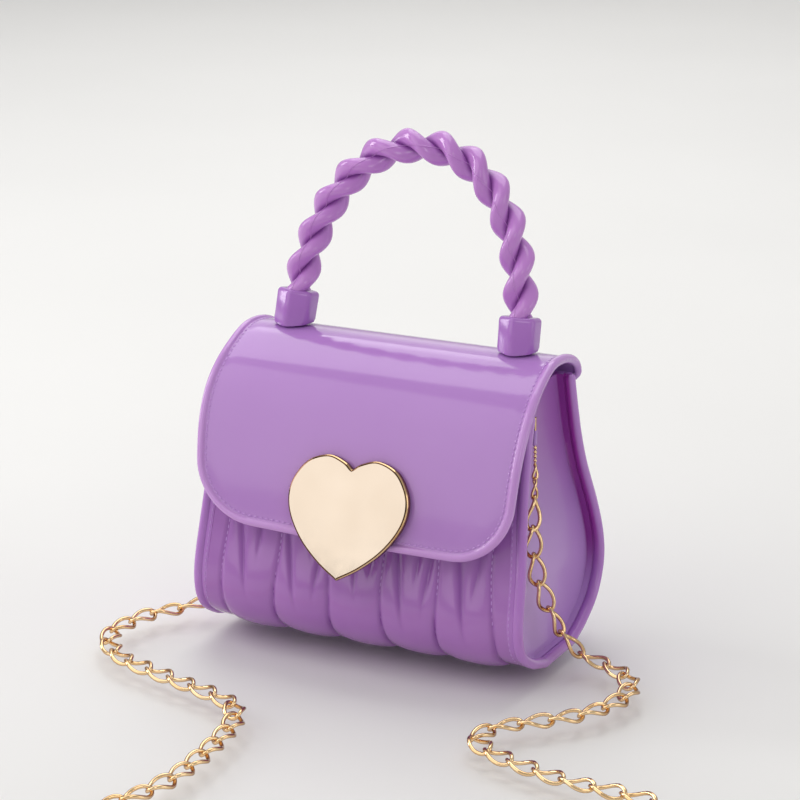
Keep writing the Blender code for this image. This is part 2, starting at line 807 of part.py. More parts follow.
def heart_outline(scale):
    """The heart's outline, shrunk towards its middle by the scale."""
    half = [(x * HEART_WIDTH / 2.0, y * HEART_HEIGHT) for x, y in HEART_OUTLINE_SHARES]
    right = smooth_points(half, HEART_STEPS)
    left = [Vector((-point.x, point.y)) for point in reversed(right[1:-1])]
    middle = Vector((0.0, HEART_HEIGHT * HEART_MIDDLE_SHARE))
    return [middle + (point - middle) * scale for point in right + left]


def make_heart(material):
    """The stamped heart: a bevelled face with a short wall behind it, open at the back."""
    tip, turn = heart_frame()
    bevel = 1.0 - HEART_BEVEL / (HEART_WIDTH / 2.0)
    wall = 1.0 - HEART_WALL / (HEART_HEIGHT / 4.0)
    stages = (
        (bevel, 0.0),
        (1.0, -HEART_BEVEL),
        (1.0, -HEART_DEPTH),
        (wall, -HEART_DEPTH),
        (wall, -HEART_WALL),
    )
    loops = [
        [tip + turn @ Vector((point.x, point.y, depth)) for point in heart_outline(scale)]
        for scale, depth in stages
    ]
    loft_object("heart_plate", loops, material)


def travel_to_flap(point, direction, stand):
    """How far a point travels in a direction, at x = 0, before it meets a side of the flap."""
    strip = flap_strip()
    place = Vector((point.y, point.z))
    heading = Vector((direction.y, direction.z))
    best = None
    for index in range(len(strip.points) - 1):
        middle, normal = strip.at((strip.reach[index] + strip.reach[index + 1]) / 2.0)
        skin = middle + normal * stand
        travel = (skin - place).dot(normal) / heading.dot(normal)
        miss = (place + heading * travel - skin).length
        if travel > 0.0 and (best is None or miss < best[0]):
            best = (miss, travel)
    return best[1]


def make_heart_posts(material):
    """The two posts that carry the heart on the flap."""
    tip, turn = heart_frame()
    for name, side in (("left", -1.0), ("right", 1.0)):
        local = Vector((side * HEART_POST_SPACING / 2.0, HEART_POST_HEIGHT, -HEART_WALL - FIT_GAP))
        start = tip + turn @ local
        axis = turn @ Vector((0.0, 0.0, -1.0))
        lower = start + Vector((0.0, 0.0, -HEART_POST_RADIUS))
        upper = start + Vector((0.0, 0.0, HEART_POST_RADIUS))
        reach = min(travel_to_flap(end, axis, SHEET / 2.0) for end in (lower, upper))
        length = reach - FIT_GAP
        disc_object(f"heart_post_{name}", start, axis, HEART_POST_RADIUS, length, material, POST_SIDES)


def make_snap(metal):
    """The magnetic snap: a socket on the front with its washer inside, and a stud on the flap."""
    front, _ = split_outline(FINE_STEPS)
    index = min(range(len(front)), key=lambda i: abs(front[i][0].y - SNAP_HEIGHT))
    point, normal = front[index]
    rise = puff_rise(index / (len(front) - 1))
    out = Vector((0.0, normal.x, normal.y))
    middle = Vector((0.0, point.x, point.y))
    crest = middle + out * (rise + SHEET / 2.0)
    socket = crest + out * FIT_GAP
    rise_way = Vector((0.0, -out.z, out.y))
    ends = [socket + rise_way * reach for reach in (-SNAP_RADIUS, 0.0, SNAP_RADIUS)]
    space = min(travel_to_flap(end, out, -SHEET / 2.0) for end in ends)
    thickness = (space - 2.0 * FIT_GAP) / 2.0
    disc_object("snap_socket", socket, out, SNAP_RADIUS, thickness, metal)
    stud = socket + out * (thickness + FIT_GAP)
    disc_object("snap_stud", stud, out, SNAP_RADIUS, thickness, metal)
    inside = middle + out * (rise - SHEET / 2.0 - SNAP_RELIEF)
    disc_object("snap_washer", inside, -out, SNAP_WASHER_RADIUS, SNAP_WASHER_THICKNESS, metal)


def gusset_reach(depths, heights):
    """How far out the gusset's flat facets reach within a box of depths and heights."""
    outline = body_outline(SHEET_STEPS)
    normals = outward_normals(outline)
    hub = (outline[0] + outline[-1]) / 2.0
    reach = 0.0
    for point, normal in zip(outline, normals):
        rim = point - normal * (SHEET / 2.0 + FIT_GAP)
        rings = [
            gusset_face(rim, hub, share, GUSSET_SHEET / 2.0, 1.0)
            for share in (*GUSSET_RING_SHARES, 1.0)
        ]
        for near, far in zip(rings, rings[1:]):
            for step in range(GUSSET_PROBE_COUNT):
                spot = near.lerp(far, step / GUSSET_PROBE_COUNT)
                if depths[0] <= spot.y <= depths[1] and heights[0] <= spot.z <= heights[1]:
                    reach = max(reach, spot.x)
    return reach


def make_strap_tab(side_name, side, metal):
    """The bent metal tab under the flap that carries one end of the chain, and its rivet."""
    top = TAB_TOP_SHARE * BACK_HEIGHT
    bend = top - TAB_STRAIGHT
    wall = gusset_reach(
        (-TAB_DEPTH - TAB_WIDTH / 2.0 - TAB_MARGIN, -TAB_DEPTH + TAB_WIDTH / 2.0 + TAB_MARGIN),
        (bend - TAB_MARGIN, top + TAB_MARGIN),
    )
    inner = wall + TAB_SEAT_GAP + TAB_THICKNESS / 2.0
    path = (
        (inner, top),
        (inner, bend),
        (inner + TAB_KICK, bend - TAB_DROP),
        (inner + TAB_KICK, bend - TAB_DROP - TAB_FOOT),
    )
    half = TAB_THICKNESS / 2.0
    outline = [(x + half, z) for x, z in path] + [(x - half, z) for x, z in reversed(path)]
    loops = [
        [Vector((side * x, -TAB_DEPTH + shift, z)) for x, z in outline]
        for shift in (-TAB_WIDTH / 2.0, TAB_WIDTH / 2.0)
    ]
    loft_object(f"strap_tab_{side_name}", loops, metal)
    centre = Vector((side * (inner + half + FIT_GAP), -TAB_DEPTH, top - TAB_STRAIGHT / 2.0))
    axis = Vector((side, 0.0, 0.0))
    name = f"strap_rivet_{side_name}"
    disc_object(name, centre, axis, RIVET_RADIUS, RIVET_HEIGHT, metal, POST_SIDES)


def make_chain(material):
    """The shoulder chain's plain tube, hanging from both tabs and lying on the floor."""
    route = smooth_points(CHAIN_ROUTE, FINE_STEPS)
    points = even_points(route, CHAIN_POINT_COUNT)
    drop = Vector((0.0, 0.0, -2.0 * CHAIN_RADIUS))
    points[1:1] = [points[0] + drop]
    points[-1:-1] = [points[-1] + drop]
    tube_object("strap_chain", points, CHAIN_RADIUS, material)


def main():
    """Builds every piece of the bag."""
    clear_scene()
    lilac = make_material("lilac_gloss", (0.40, 0.19, 0.52), 0.18)
    pleat = make_material("lilac_pleat", (0.30, 0.13, 0.38), 0.2)
    gusset = make_material("lilac_gusset", (0.32, 0.14, 0.40), 0.25)
    piping = make_material("lilac_piping", (0.44, 0.20, 0.54), 0.2)
    gold = make_material("pale_gold", (0.85, 0.68, 0.42), 0.15, metallic=1.0)
    chain_gold = make_material("chain_gold", (0.83, 0.58, 0.24), 0.2, metallic=1.0)
    steel = make_material("snap_metal", (0.55, 0.5, 0.42), 0.3, metallic=1.0)
    make_front(pleat)
    make_base(lilac)
    make_back(lilac)
    make_hinge_strip(lilac)
    make_flap_panel(lilac)
    make_flap_bead(piping)
    make_rope(lilac)
    make_heart(gold)
    make_heart_posts(steel)
    make_snap(steel)
    for side_name, side in (("left", -1.0), ("right", 1.0)):
        make_gusset(f"gusset_{side_name}", side, gusset)
        make_edge_bead(f"edge_bead_{side_name}", side, piping)
        make_collar(f"handle_collar_{side_name}", side, lilac)
        make_fixing(side_name, side, steel)
        make_strap_tab(side_name, side, chain_gold)
    make_chain(chain_gold)


main()
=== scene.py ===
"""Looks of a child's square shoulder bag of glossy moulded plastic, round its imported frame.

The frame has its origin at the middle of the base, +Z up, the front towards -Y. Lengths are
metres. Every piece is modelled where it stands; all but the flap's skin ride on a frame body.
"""

import logging
import math
from dataclasses import dataclass, field
from enum import Enum
from typing import Callable, Iterable, Sequence

import bpy
import numpy as np
from mathutils import Matrix, Vector


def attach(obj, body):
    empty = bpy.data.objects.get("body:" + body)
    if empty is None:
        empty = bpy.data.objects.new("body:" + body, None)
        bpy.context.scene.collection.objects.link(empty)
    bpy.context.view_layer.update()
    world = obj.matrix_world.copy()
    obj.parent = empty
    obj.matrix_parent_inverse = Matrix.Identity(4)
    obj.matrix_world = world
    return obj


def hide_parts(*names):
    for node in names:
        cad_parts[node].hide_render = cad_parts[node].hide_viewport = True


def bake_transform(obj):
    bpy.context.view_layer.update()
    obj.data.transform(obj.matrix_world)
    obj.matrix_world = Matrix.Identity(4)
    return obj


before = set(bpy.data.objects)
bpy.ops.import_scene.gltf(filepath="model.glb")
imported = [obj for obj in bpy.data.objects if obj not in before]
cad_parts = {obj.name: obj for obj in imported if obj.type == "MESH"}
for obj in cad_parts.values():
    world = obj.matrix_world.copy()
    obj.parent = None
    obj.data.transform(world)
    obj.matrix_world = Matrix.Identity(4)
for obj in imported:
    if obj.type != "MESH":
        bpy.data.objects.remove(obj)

LOG = logging.getLogger("shoulder_bag")
Array = np.ndarray
Piece = bpy.types.Object
Socket = bpy.types.NodeSocket
Color = tuple[float, float, float]
Span = tuple[float, float]
Line = tuple[Span, ...]
Seam = tuple[Array, Array, Vector]

# The gap between sheets that lie side by side, as in the part's source
CLEARANCE = 0.0003
MERGE_GAP = 1e-6

# The chain's route, as in the part's source: one hanging end, the landing, the floor, the other end
HANG = (
    (0.0695, -0.0190, 0.0876), (0.0695, -0.0191, 0.0835), (0.0699, -0.0202, 0.0760),
    (0.0700, -0.0214, 0.0685), (0.0694, -0.0206, 0.0575), (0.0694, -0.0180, 0.0455),
    (0.0716, -0.0158, 0.0330),
)
LANDING = ((-0.0750, -0.0128, 0.0205), (-0.0785, -0.0112, 0.0105), (-0.0840, -0.0180, 0.0040))
RISING = ((0.0890, -0.0050, 0.0030), (0.0800, -0.0065, 0.0085), (0.0755, -0.0110, 0.0205))
FLOOR_LEVEL = 0.0026
FLOOR_PLAN = (
    (-0.0910, -0.0260), (-0.0990, -0.0360), (-0.1030, -0.0520), (-0.1035, -0.0650),
    (-0.0970, -0.0770), (-0.0890, -0.0840), (-0.0790, -0.0900), (-0.0660, -0.0940),
    (-0.0540, -0.0980), (-0.0410, -0.1020), (-0.0280, -0.1065), (-0.0165, -0.1130),
    (-0.0105, -0.1260), (-0.0075, -0.1410), (-0.0060, -0.1550), (-0.0050, -0.1690),
    (-0.0050, -0.1830), (-0.0075, -0.1960), (-0.0130, -0.2100), (-0.0170, -0.2260),
    (-0.0120, -0.2410), (0.0040, -0.2475), (0.0260, -0.2400), (0.0550, -0.2230),
    (0.0920, -0.2070), (0.1300, -0.1930), (0.1640, -0.1800), (0.1830, -0.1630),
    (0.1860, -0.1420), (0.1730, -0.1270), (0.1560, -0.1230), (0.1340, -0.1210),
    (0.1220, -0.1200), (0.1090, -0.1155), (0.0970, -0.1120), (0.0870, -0.1065),
    (0.0805, -0.1010), (0.0800, -0.0930), (0.0850, -0.0830), (0.0940, -0.0750),
    (0.1030, -0.0660), (0.1110, -0.0560), (0.1155, -0.0430), (0.1170, -0.0300),
    (0.1110, -0.0170), (0.1000, -0.0085),
)
CHAIN_ROUTE = (
    *((-x, y, z) for x, y, z in HANG),
    *LANDING,
    *((x, y, FLOOR_LEVEL) for x, y in FLOOR_PLAN),
    *RISING,
    *HANG[::-1],
)


class Body(Enum):
    """The two rigid bodies of the frame."""

    BAG = "bag"
    FLAP = "flap"


class Slot(Enum):
    """The record's material slots."""

    LILAC = "lilac"
    PLEAT = "lilac_pleat"
    GUSSET = "lilac_gusset"
    PIPING = "lilac_piping"
    PALE_GOLD = "pale_gold"
    CHAIN_GOLD = "chain_gold"
    SNAP = "snap_metal"


class Side(Enum):
    """Left and right of the bag as its front is looked at."""

    LEFT = -1.0
    RIGHT = 1.0

    @property
    def word(self) -> str:
        """The side's name as piece names have it."""
        return self.name.lower()


# Lines and curves


def rise(value: Array | float, start: float, end: float) -> Array | float:
    """A smooth step from 0 at the start to 1 at the end, which is lower for a falling step.

    Args:
        value: A number or an array.
        start: The last value with a step of 0.
        end: The first value with a step of 1.

    Returns:
        The step at the value.
    """
    share = np.clip((value - start) / (end - start), 0.0, 1.0)
    return share * share * (3.0 - 2.0 * share)


def hump(value: Array, middle: Array | float, width: Array | float, power: float = 2.0) -> Array:
    """A height of 1 at the middle that falls away on both sides.

    Args:
        value: Where it is read.
        middle: Where it is highest.
        width: How far from the middle it has fallen to about a third.
        power: How square its shoulders are.

    Returns:
        The height at each value.
    """
    return np.exp(-((np.abs(value - middle) / width) ** power))


def unit(ways: Array) -> Array:
    """The directions, each with a length of 1."""
    return ways / np.linalg.norm(ways, axis=-1, keepdims=True)


def loop_ways(loop: Array) -> Array:
    """Unit directions along a closed loop at each of its points."""
    return unit(np.roll(loop, -1, axis=0) - np.roll(loop, 1, axis=0))


def smooth_line(points: Sequence[Sequence[float]], steps: int) -> Array:
    """A smooth curve through points of any dimension.

    Args:
        points: The points that it passes through.
        steps: How many steps lie between each two of them.

    Returns:
        An array with one row for each point of the curve.
    """
    knots = np.asarray(points, float)
    ends = np.vstack([2.0 * knots[0] - knots[1], knots, 2.0 * knots[-1] - knots[-2]])
    t = np.arange(steps)[:, None] / steps
    parts = []
    for before, start, end, after in zip(ends, ends[1:], ends[2:], ends[3:]):
        pull, push = (end - before) / 2.0, (after - start) / 2.0
        parts.append(
            start * (2.0 * t**3 - 3.0 * t**2 + 1.0)
            + pull * (t**3 - 2.0 * t**2 + t)
            + end * (3.0 * t**2 - 2.0 * t**3)
            + push * (t**3 - t**2)
        )
    return np.vstack([*parts, knots[-1:]])


class Track:
    """A line that is read by the distance along it, in any number of dimensions."""

    reading_step = 0.0004

    def __init__(self, points: Array) -> None:
        """Measures the line through these points."""
        self.points = points
        steps = np.linalg.norm(np.diff(points, axis=0), axis=1)
        self.reach = np.concatenate([[0.0], np.cumsum(steps)])
        self.length = float(self.reach[-1])

    def at(self, distance: Array) -> Array:
        """Points at these distances along the line, straight on past both ends."""
        columns = [np.interp(distance, self.reach, axis) for axis in self.points.T]
        first = unit(self.points[1] - self.points[0])
        last = unit(self.points[-1] - self.points[-2])
        before = np.minimum(distance, 0.0)[..., None]
        beyond = np.maximum(distance - self.length, 0.0)[..., None]
        return np.stack(columns, axis=-1) + before * first + beyond * last

    def tangent(self, distance: Array) -> Array:
        """Unit directions of the line at these distances."""
        return unit(self.at(distance + self.reading_step) - self.at(distance - self.reading_step))

    def normal(self, distance: Array) -> Array:
        """Unit normals of a (y, z) line at these distances, pointing out of the bag."""
        way = self.tangent(distance)
        return np.stack([way[..., 1], -way[..., 0]], axis=-1)


def with_x(x: Array, spots: Array) -> Array:
    """Points by three from places across and (y, z) spots."""
    return np.concatenate([x[..., None], spots], axis=-1)


# Mesh work


def select(*pieces: Piece) -> None:
    """Selects these pieces alone, the first of them active."""
    bpy.ops.object.select_all(action="DESELECT")
    for piece in pieces:
        piece.select_set(True)
    if pieces:
        bpy.context.view_layer.objects.active = pieces[0]


def in_edit(piece: Piece, action: Callable[..., object]) -> None:
    """Runs an action in edit mode with all of a piece selected."""
    select(piece)
    bpy.ops.object.mode_set(mode="EDIT")
    bpy.ops.mesh.select_all(action="SELECT")
    action()
    bpy.ops.object.mode_set(mode="OBJECT")


def named(piece: Piece, name: str) -> Piece:
    """The piece, with the name on it and on its mesh."""
    piece.name = piece.data.name = name
    return piece


def grid_piece(
    name: str, points: Array, outward: Sequence[float] | None = None, **tones: Array
) -> Piece:
    """Adds a grid and shapes it to an array of points.

    Args:
        name: The piece's name.
        points: An array of rows by columns by three.
        outward: A direction that the middle face should look along.
        tones: How much of its finish's painted shade ("deep") or painted light ("pale") each point
            takes.

    Returns:
        The piece.
    """
    rows, columns = points.shape[:2]
    select()
    bpy.ops.mesh.primitive_grid_add(
        x_subdivisions=columns - 1, y_subdivisions=rows - 1, size=2.0, location=(0.0, 0.0, 0.0)
    )
    piece = named(bpy.context.object, name)
    mesh = piece.data
    flat = np.empty(len(mesh.vertices) * 3)
    mesh.vertices.foreach_get("co", flat)
    plan = (flat.reshape(-1, 3)[:, :2] + 1.0) / 2.0 * (columns - 1, rows - 1)
    j, i = np.rint(plan).astype(int).T
    mesh.vertices.foreach_set("co", points[i, j].ravel())
    mesh.update()
    for label, share in tones.items():
        tone = mesh.attributes.new(label, "FLOAT", "POINT")
        tone.data.foreach_set("value", share[i, j].astype(float).ravel())
    if outward is not None:
        middle = mesh.polygons[len(mesh.polygons) // 2 + (columns - 1) // 2]
        if middle.normal.dot(Vector(outward)) < 0.0:
            in_edit(piece, lambda: bpy.ops.mesh.flip_normals())
    return piece


def close_up(piece: Piece, gap: float = MERGE_GAP) -> Piece:
    """Merges a piece's doubles, fills its open loops and turns its faces outwards.

    Args:
        piece: The piece.
        gap: How close two vertices are that become one.

    Returns:
        The same piece.
    """

    def action() -> None:
        """The edit-mode steps."""
        bpy.ops.mesh.remove_doubles(threshold=gap)
        bpy.ops.mesh.select_all(action="DESELECT")
        bpy.ops.mesh.select_non_manifold(
            extend=False, use_wire=False, use_boundary=True,
            use_multi_face=False, use_non_contiguous=False, use_verts=False,
        )
        bpy.ops.mesh.edge_face_add()
        bpy.ops.mesh.select_all(action="SELECT")
        bpy.ops.mesh.normals_make_consistent(inside=False)

    in_edit(piece, action)
    return piece


def finish_with(piece: Piece, kind: str, **settings: object) -> None:
    """Adds a modifier to a piece and applies it.

    Args:
        piece: The piece.
        kind: The modifier's type.
        settings: Its settings.
    """
    modifier = piece.modifiers.new(kind.title(), kind)
    for key, value in settings.items():
        setattr(modifier, key, value)
    select(piece)
    bpy.ops.object.modifier_apply(modifier=modifier.name)


def joined(name: str, parts: Sequence[Piece]) -> Piece:
    """The parts as one piece of this name."""
    select(*parts)
    if len(parts) > 1:
        bpy.ops.object.join()
    return named(parts[0], name)


def copied(name: str, model: Piece, places: Iterable[Matrix]) -> Piece:
    """Copies a modelled shape to each place and joins the copies.

    Args:
        name: The piece's name.
        model: The shape, at the origin. It is removed.
        places: One matrix for each copy.

    Returns:
        The piece.
    """
    parts = []
    for place in places:
        part = model.copy()
        part.data = model.data.copy()
        part.data.transform(place)
        bpy.context.scene.collection.objects.link(part)
        parts.append(part)
    bpy.data.objects.remove(model, do_unlink=True)
    return joined(name, parts)


def tube_points(path: Array, across: Array, up: Array, section: Array) -> Array:
    """Rings of a section carried along a path.

    Args:
        path: The path's points.
        across: The section's first direction at each of them.
        up: The section's second direction at each of them.
        section: The section's (across, up) points, closed, for all rings or for each.

    Returns:
        An array of rings by points by three.
    """
    ring = np.broadcast_to(section, (len(path), *section.shape[-2:]))
    sideways = ring[..., :1] * across[:, None, :]
    return path[:, None, :] + sideways + ring[..., 1:] * up[:, None, :]


def arc(start: float, end: float, count: int, radius: float = 1.0) -> Array:
    """Points of an arc between two angles in degrees, as (across, up) rows."""
    angle = np.radians(np.linspace(start, end, count))
    return radius * np.stack([np.cos(angle), np.sin(angle)], axis=1)


def axes_matrix(place: Array, *axes: Vector) -> Matrix:
    """The matrix that lays the three axes along these directions at a place."""
    return Matrix.Translation(Vector(place)) @ Matrix(axes).transposed().to_4x4()


@dataclass(frozen=True)
class Thread:
    """A stitch's size, and the pitch at which its seams repeat it."""

    pitch: float
    length: float
    width: float

    def ends(self, distance: float) -> Array:
        """Where one stitch starts and ends along its seam."""
        return distance + np.array([-1.0, 1.0]) * self.length / 2.0

    def sew(self, name: str, body: Body, seams: Sequence[Seam]) -> None:
        """Lays a dash with rounded ends on each seam and dresses them as one piece.

        Args:
            name: The piece's name.
            body: The body that it rides on.
            seams: Each dash's two ends and the surface's normal there.
        """
        select()
        bpy.ops.mesh.primitive_uv_sphere_add(segments=6, ring_count=6, radius=0.5)
        dash = bpy.context.object
        size = Matrix.Diagonal((self.length, self.width, self.width / 2.0, 1.0))
        dash.data.transform(size @ Matrix.Rotation(math.pi / 2.0, 4, "Y"))
        places = []
        for start, end, out in seams:
            along = Vector(end - start).normalized()
            side = out.cross(along).normalized()
            places.append(axes_matrix((start + end) / 2.0, along, side, along.cross(side)))
        dress(copied(name, dash, places), STITCH_SKIN, body, angle=80.0)


def smooth_shade(piece: Piece, angle: float) -> None:
    """Shades a piece smooth, apart from edges that turn by more than the angle in degrees."""
    select(piece)
    bpy.ops.object.shade_smooth_by_angle(angle=math.radians(angle))


def dress(
    piece: Piece, finish: "Finish", body: Body | None, *replaced: str, angle: float = 50.0
) -> None:
    """Shades a piece and gives it its finish, its body and the nodes that it stands for.

    Args:
        piece: The piece.
        finish: The finish of its surface.
        body: The body that it rides on, or None.
        replaced: Names of nodes that it replaces.
        angle: The turn in degrees above which an edge stays sharp.
    """
    smooth_shade(piece, angle)
    piece.data.materials.clear()
    piece.data.materials.append(finish.material())
    if body is not None:
        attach(piece, body.value)
    if replaced:
        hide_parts(*replaced)
    LOG.info("%s: %d faces", piece.name, len(piece.data.polygons))


# Finishes

# Scale and detail of each noise that the finishes share
CLOUDS: Span = (22.0, 3.0)
SCUFFS: Span = (320.0, 5.0)
TARNISH: Span = (60.0, 3.0)
HAZE: Span = (240.0, 4.0)
FLOOR_CLOUDS: Span = (3.0, 2.0)
RIPPLE_DETAIL = 2.0
GRAIN_DETAIL = 3.0
HAIRLINE_STRETCH = (1.0, 1.0, 0.04)


class Nodes:
    """A node tree with short ways to build in it."""

    noise_span: Span = (0.3, 0.7)

    def __init__(self, tree: bpy.types.NodeTree) -> None:
        """Holds the tree."""
        self.tree = tree

    def feed(self, node: bpy.types.Node, inputs: dict[str | int, object]) -> None:
        """Links or sets a node's inputs.

        Args:
            node: The node.
            inputs: A socket or a value for each input's name or number.
        """
        for label, value in inputs.items():
            if isinstance(value, Socket):
                self.tree.links.new(value, node.inputs[label])
            else:
                node.inputs[label].default_value = value

    def add(
        self, kind: str, inputs: dict[str | int, object], **settings: object
    ) -> Sequence[Socket]:
        """Adds a shader node.

        Args:
            kind: Its type, without the word Shader.
            inputs: A socket or a value for each input's name or number.
            settings: Its own settings.

        Returns:
            Its outputs.
        """
        node = self.tree.nodes.new(f"ShaderNode{kind}")
        for key, value in settings.items():
            setattr(node, key, value)
        self.feed(node, inputs)
        return node.outputs

    def where(self) -> Socket:
        """The piece's own coordinates."""
        return self.add("TexCoord", {})["Object"]

    def math(self, operation: str, first: Socket, second: Socket) -> Socket:
        """The result of a Math operation on two numbers."""
        return self.add("Math", {0: first, 1: second}, operation=operation)[0]

    def noise(self, vector: Socket, scale: Socket | float, detail: float) -> Socket:
        """A Noise Texture's factor."""
        return self.add("TexNoise", {"Vector": vector, "Scale": scale, "Detail": detail})["Fac"]

    def ramp(self, factor: Socket, low: Color, high: Color, span: Span = noise_span) -> Socket:
        """A colour between two colours.

        Args:
            factor: What chooses between them.
            low: The colour at the span's start.
            high: The colour at its end.
            span: The factors at which each is reached.

        Returns:
            The colour's output.
        """
        color = self.add("ValToRGB", {"Fac": factor})["Color"]
        for element, place, tint in zip(color.node.color_ramp.elements, span, (low, high)):
            element.position, element.color = place, (*tint, 1.0)
        return color

    def spread(self, factor: Socket, low: float, reach: float) -> Socket:
        """A number from low to low plus reach, over the middle of a noise's range."""
        start, end = self.noise_span
        span = {"From Min": start, "From Max": end, "To Min": low, "To Max": low + reach}
        return self.add("MapRange", {"Value": factor, **span})["Result"]

    def mixed(self, factor: Socket, tint: Socket, other: Color) -> Socket:
        """The tint with as much of another colour mixed in as the factor says."""
        inputs = {"Factor": factor, "A": tint, "B": (*other, 1.0)}
        return self.add("Mix", inputs, data_type="RGBA")["Result"]

    def bump(self, height: Socket, distance: float) -> Socket:
        """The normal over a height, where a height of 1 is a distance in metres."""
        inputs = {"Strength": 1.0, "Distance": distance, "Height": height}
        return self.add("Bump", inputs)["Normal"]


def skin_group(
    name: str, inputs: dict[str, float], outputs: Sequence[str],
    build: Callable[[Nodes, object], Sequence[Socket]],
) -> bpy.types.NodeTree:
    """A shared node group of plain values.

    Args:
        name: The group's name.
        inputs: Each input and its default.
        outputs: The outputs' names.
        build: Adds its nodes and gives one socket for each output.

    Returns:
        The group, built once.
    """
    if name in bpy.data.node_groups:
        return bpy.data.node_groups[name]
    tree = bpy.data.node_groups.new(name, "ShaderNodeTree")
    for label, value in inputs.items():
        socket = tree.interface.new_socket(label, in_out="INPUT", socket_type="NodeSocketFloat")
        socket.default_value = value
    for label in outputs:
        tree.interface.new_socket(label, in_out="OUTPUT", socket_type="NodeSocketFloat")
    inner, outer = tree.nodes.new("NodeGroupInput"), tree.nodes.new("NodeGroupOutput")
    for label, result in zip(outputs, build(Nodes(tree), inner.outputs)):
        tree.links.new(result, outer.inputs[label])
    return tree


def build_moulding(nodes: Nodes, given: object) -> Sequence[Socket]:
    """Soft ripples with a fine grain, a cloudy tone and scuffs, as moulded plastic has."""
    where = nodes.where()
    ripple = nodes.noise(where, given["Ripple Scale"], RIPPLE_DETAIL)
    grain = nodes.noise(where, given["Grain Scale"], GRAIN_DETAIL)
    waves = nodes.math("MULTIPLY", ripple, given["Ripple"])
    pores = nodes.math("MULTIPLY", grain, given["Grain"])
    height = nodes.math("ADD", waves, pores)
    return height, nodes.noise(where, *CLOUDS), nodes.noise(where, *SCUFFS)


def build_plating(nodes: Nodes, given: object) -> Sequence[Socket]:
    """Hairline polish marks, a faint tarnish and haze, as plated metal has."""
    where = nodes.where()
    drawn_out = nodes.add("Mapping", {"Vector": where, "Scale": HAIRLINE_STRETCH})["Vector"]
    hair = nodes.noise(drawn_out, given["Scale"], RIPPLE_DETAIL)
    height = nodes.math("MULTIPLY", hair, given["Hairline"])
    return height, nodes.noise(where, *TARNISH), nodes.noise(where, *HAZE)


@dataclass(frozen=True)
class Finish:
    """A name, the record's slot, two tones of a colour, and the painted shade and light that a mesh
    places.
    """

    name: str
    slot: Slot
    color: Color
    shade: Color
    roughness: float
    # deep is a colour of painted shade (on the flap's underside, a painted glow); pale is a colour
    # of painted light
    deep: Color | None = field(default=None, kw_only=True)
    pale: Color | None = field(default=None, kw_only=True)

    def material(self) -> bpy.types.Material:
        """The finish's material, built once."""
        if self.name in bpy.data.materials:
            return bpy.data.materials[self.name]
        material = bpy.data.materials.new(self.name)
        material.use_nodes = True
        nodes = Nodes(material.node_tree)
        nodes.feed(material.node_tree.nodes["Principled BSDF"], self.inputs(nodes))
        return material

    def inputs(self, nodes: Nodes) -> dict[str, object]:
        """Builds the finish's nodes and gives its shader's inputs."""
        raise NotImplementedError

    def toned(self, nodes: Nodes, tint: Socket) -> Socket:
        """The tint with the painted shade (deep) and the painted light (pale) where the mesh's own
        values place them.
        """
        for label, color in (("deep", self.deep), ("pale", self.pale)):
            if color:
                share = nodes.add("Attribute", {}, attribute_name=label)["Fac"]
                tint = nodes.mixed(share, tint, color)
        return tint


@dataclass(frozen=True)
class MouldedPlastic(Finish):
    """Soft glossy plastic that lets a little light in."""

    ripple_scale: float = 40.0
    ripple: float = 0.5
    depth: float = 0.00012
    grain: float = 0.002
    scuffs: float = 0.04

    def inputs(self, nodes: Nodes) -> dict[str, object]:
        """Builds the plastic's nodes and gives its shader's inputs."""
        scales = {"Ripple Scale": 40.0, "Ripple": 0.5, "Grain Scale": 1800.0, "Grain": 0.1}
        group = skin_group("moulded_skin", scales, ("Height", "Tone", "Scuff"), build_moulding)
        given = {"Ripple Scale": self.ripple_scale, "Ripple": self.ripple, "Grain": self.grain}
        skin = nodes.add("Group", {}, node_tree=group)
        nodes.feed(skin[0].node, given)
        tint = nodes.ramp(skin["Tone"], self.shade, self.color)
        return {
            "Base Color": self.toned(nodes, tint),
            "Roughness": nodes.spread(skin["Scuff"], self.roughness, self.scuffs),
            "IOR": 1.5,
            "Coat Weight": 0.25,
            "Coat Roughness": 0.06,
            "Subsurface Weight": 0.06,
            "Subsurface Radius": (0.8, 0.4, 1.0),
            "Subsurface Scale": 0.0012,
            "Normal": nodes.bump(skin["Height"], self.depth),
        }


@dataclass(frozen=True)
class PlatedMetal(Finish):
    """Plated metal with hairline polish and a painted reflection of darker things at its turning
    edges.
    """

    hairline: float = 0.2
    depth: float = 0.00001
    haze: float = 0.06
    # The painted reflection: the facing span over which it comes in, and its colour
    edge_span: Span = (0.3, 0.75)
    edge: Color | None = None

    def inputs(self, nodes: Nodes) -> dict[str, object]:
        """Builds the metal's nodes and gives its shader's inputs."""
        scales = {"Hairline": 0.2, "Scale": 900.0}
        group = skin_group("plated_skin", scales, ("Height", "Tarnish", "Haze"), build_plating)
        skin = nodes.add("Group", {}, node_tree=group)
        nodes.feed(skin[0].node, {"Hairline": self.hairline})
        tint = nodes.ramp(skin["Tarnish"], self.shade, self.color)
        if self.edge:
            # Painted reflection of darker things where the surface turns away from the view
            facing = nodes.add("LayerWeight", {"Blend": 0.5})["Facing"]
            painted_reflection = nodes.ramp(facing, (0.0, 0.0, 0.0), (1.0, 1.0, 1.0), self.edge_span)
            tint = nodes.mixed(painted_reflection, tint, self.edge)
        return {
            "Base Color": self.toned(nodes, tint),
            "Roughness": nodes.spread(skin["Haze"], self.roughness, self.haze),
            "Metallic": 1.0,
            "Normal": nodes.bump(skin["Height"], self.depth),
        }
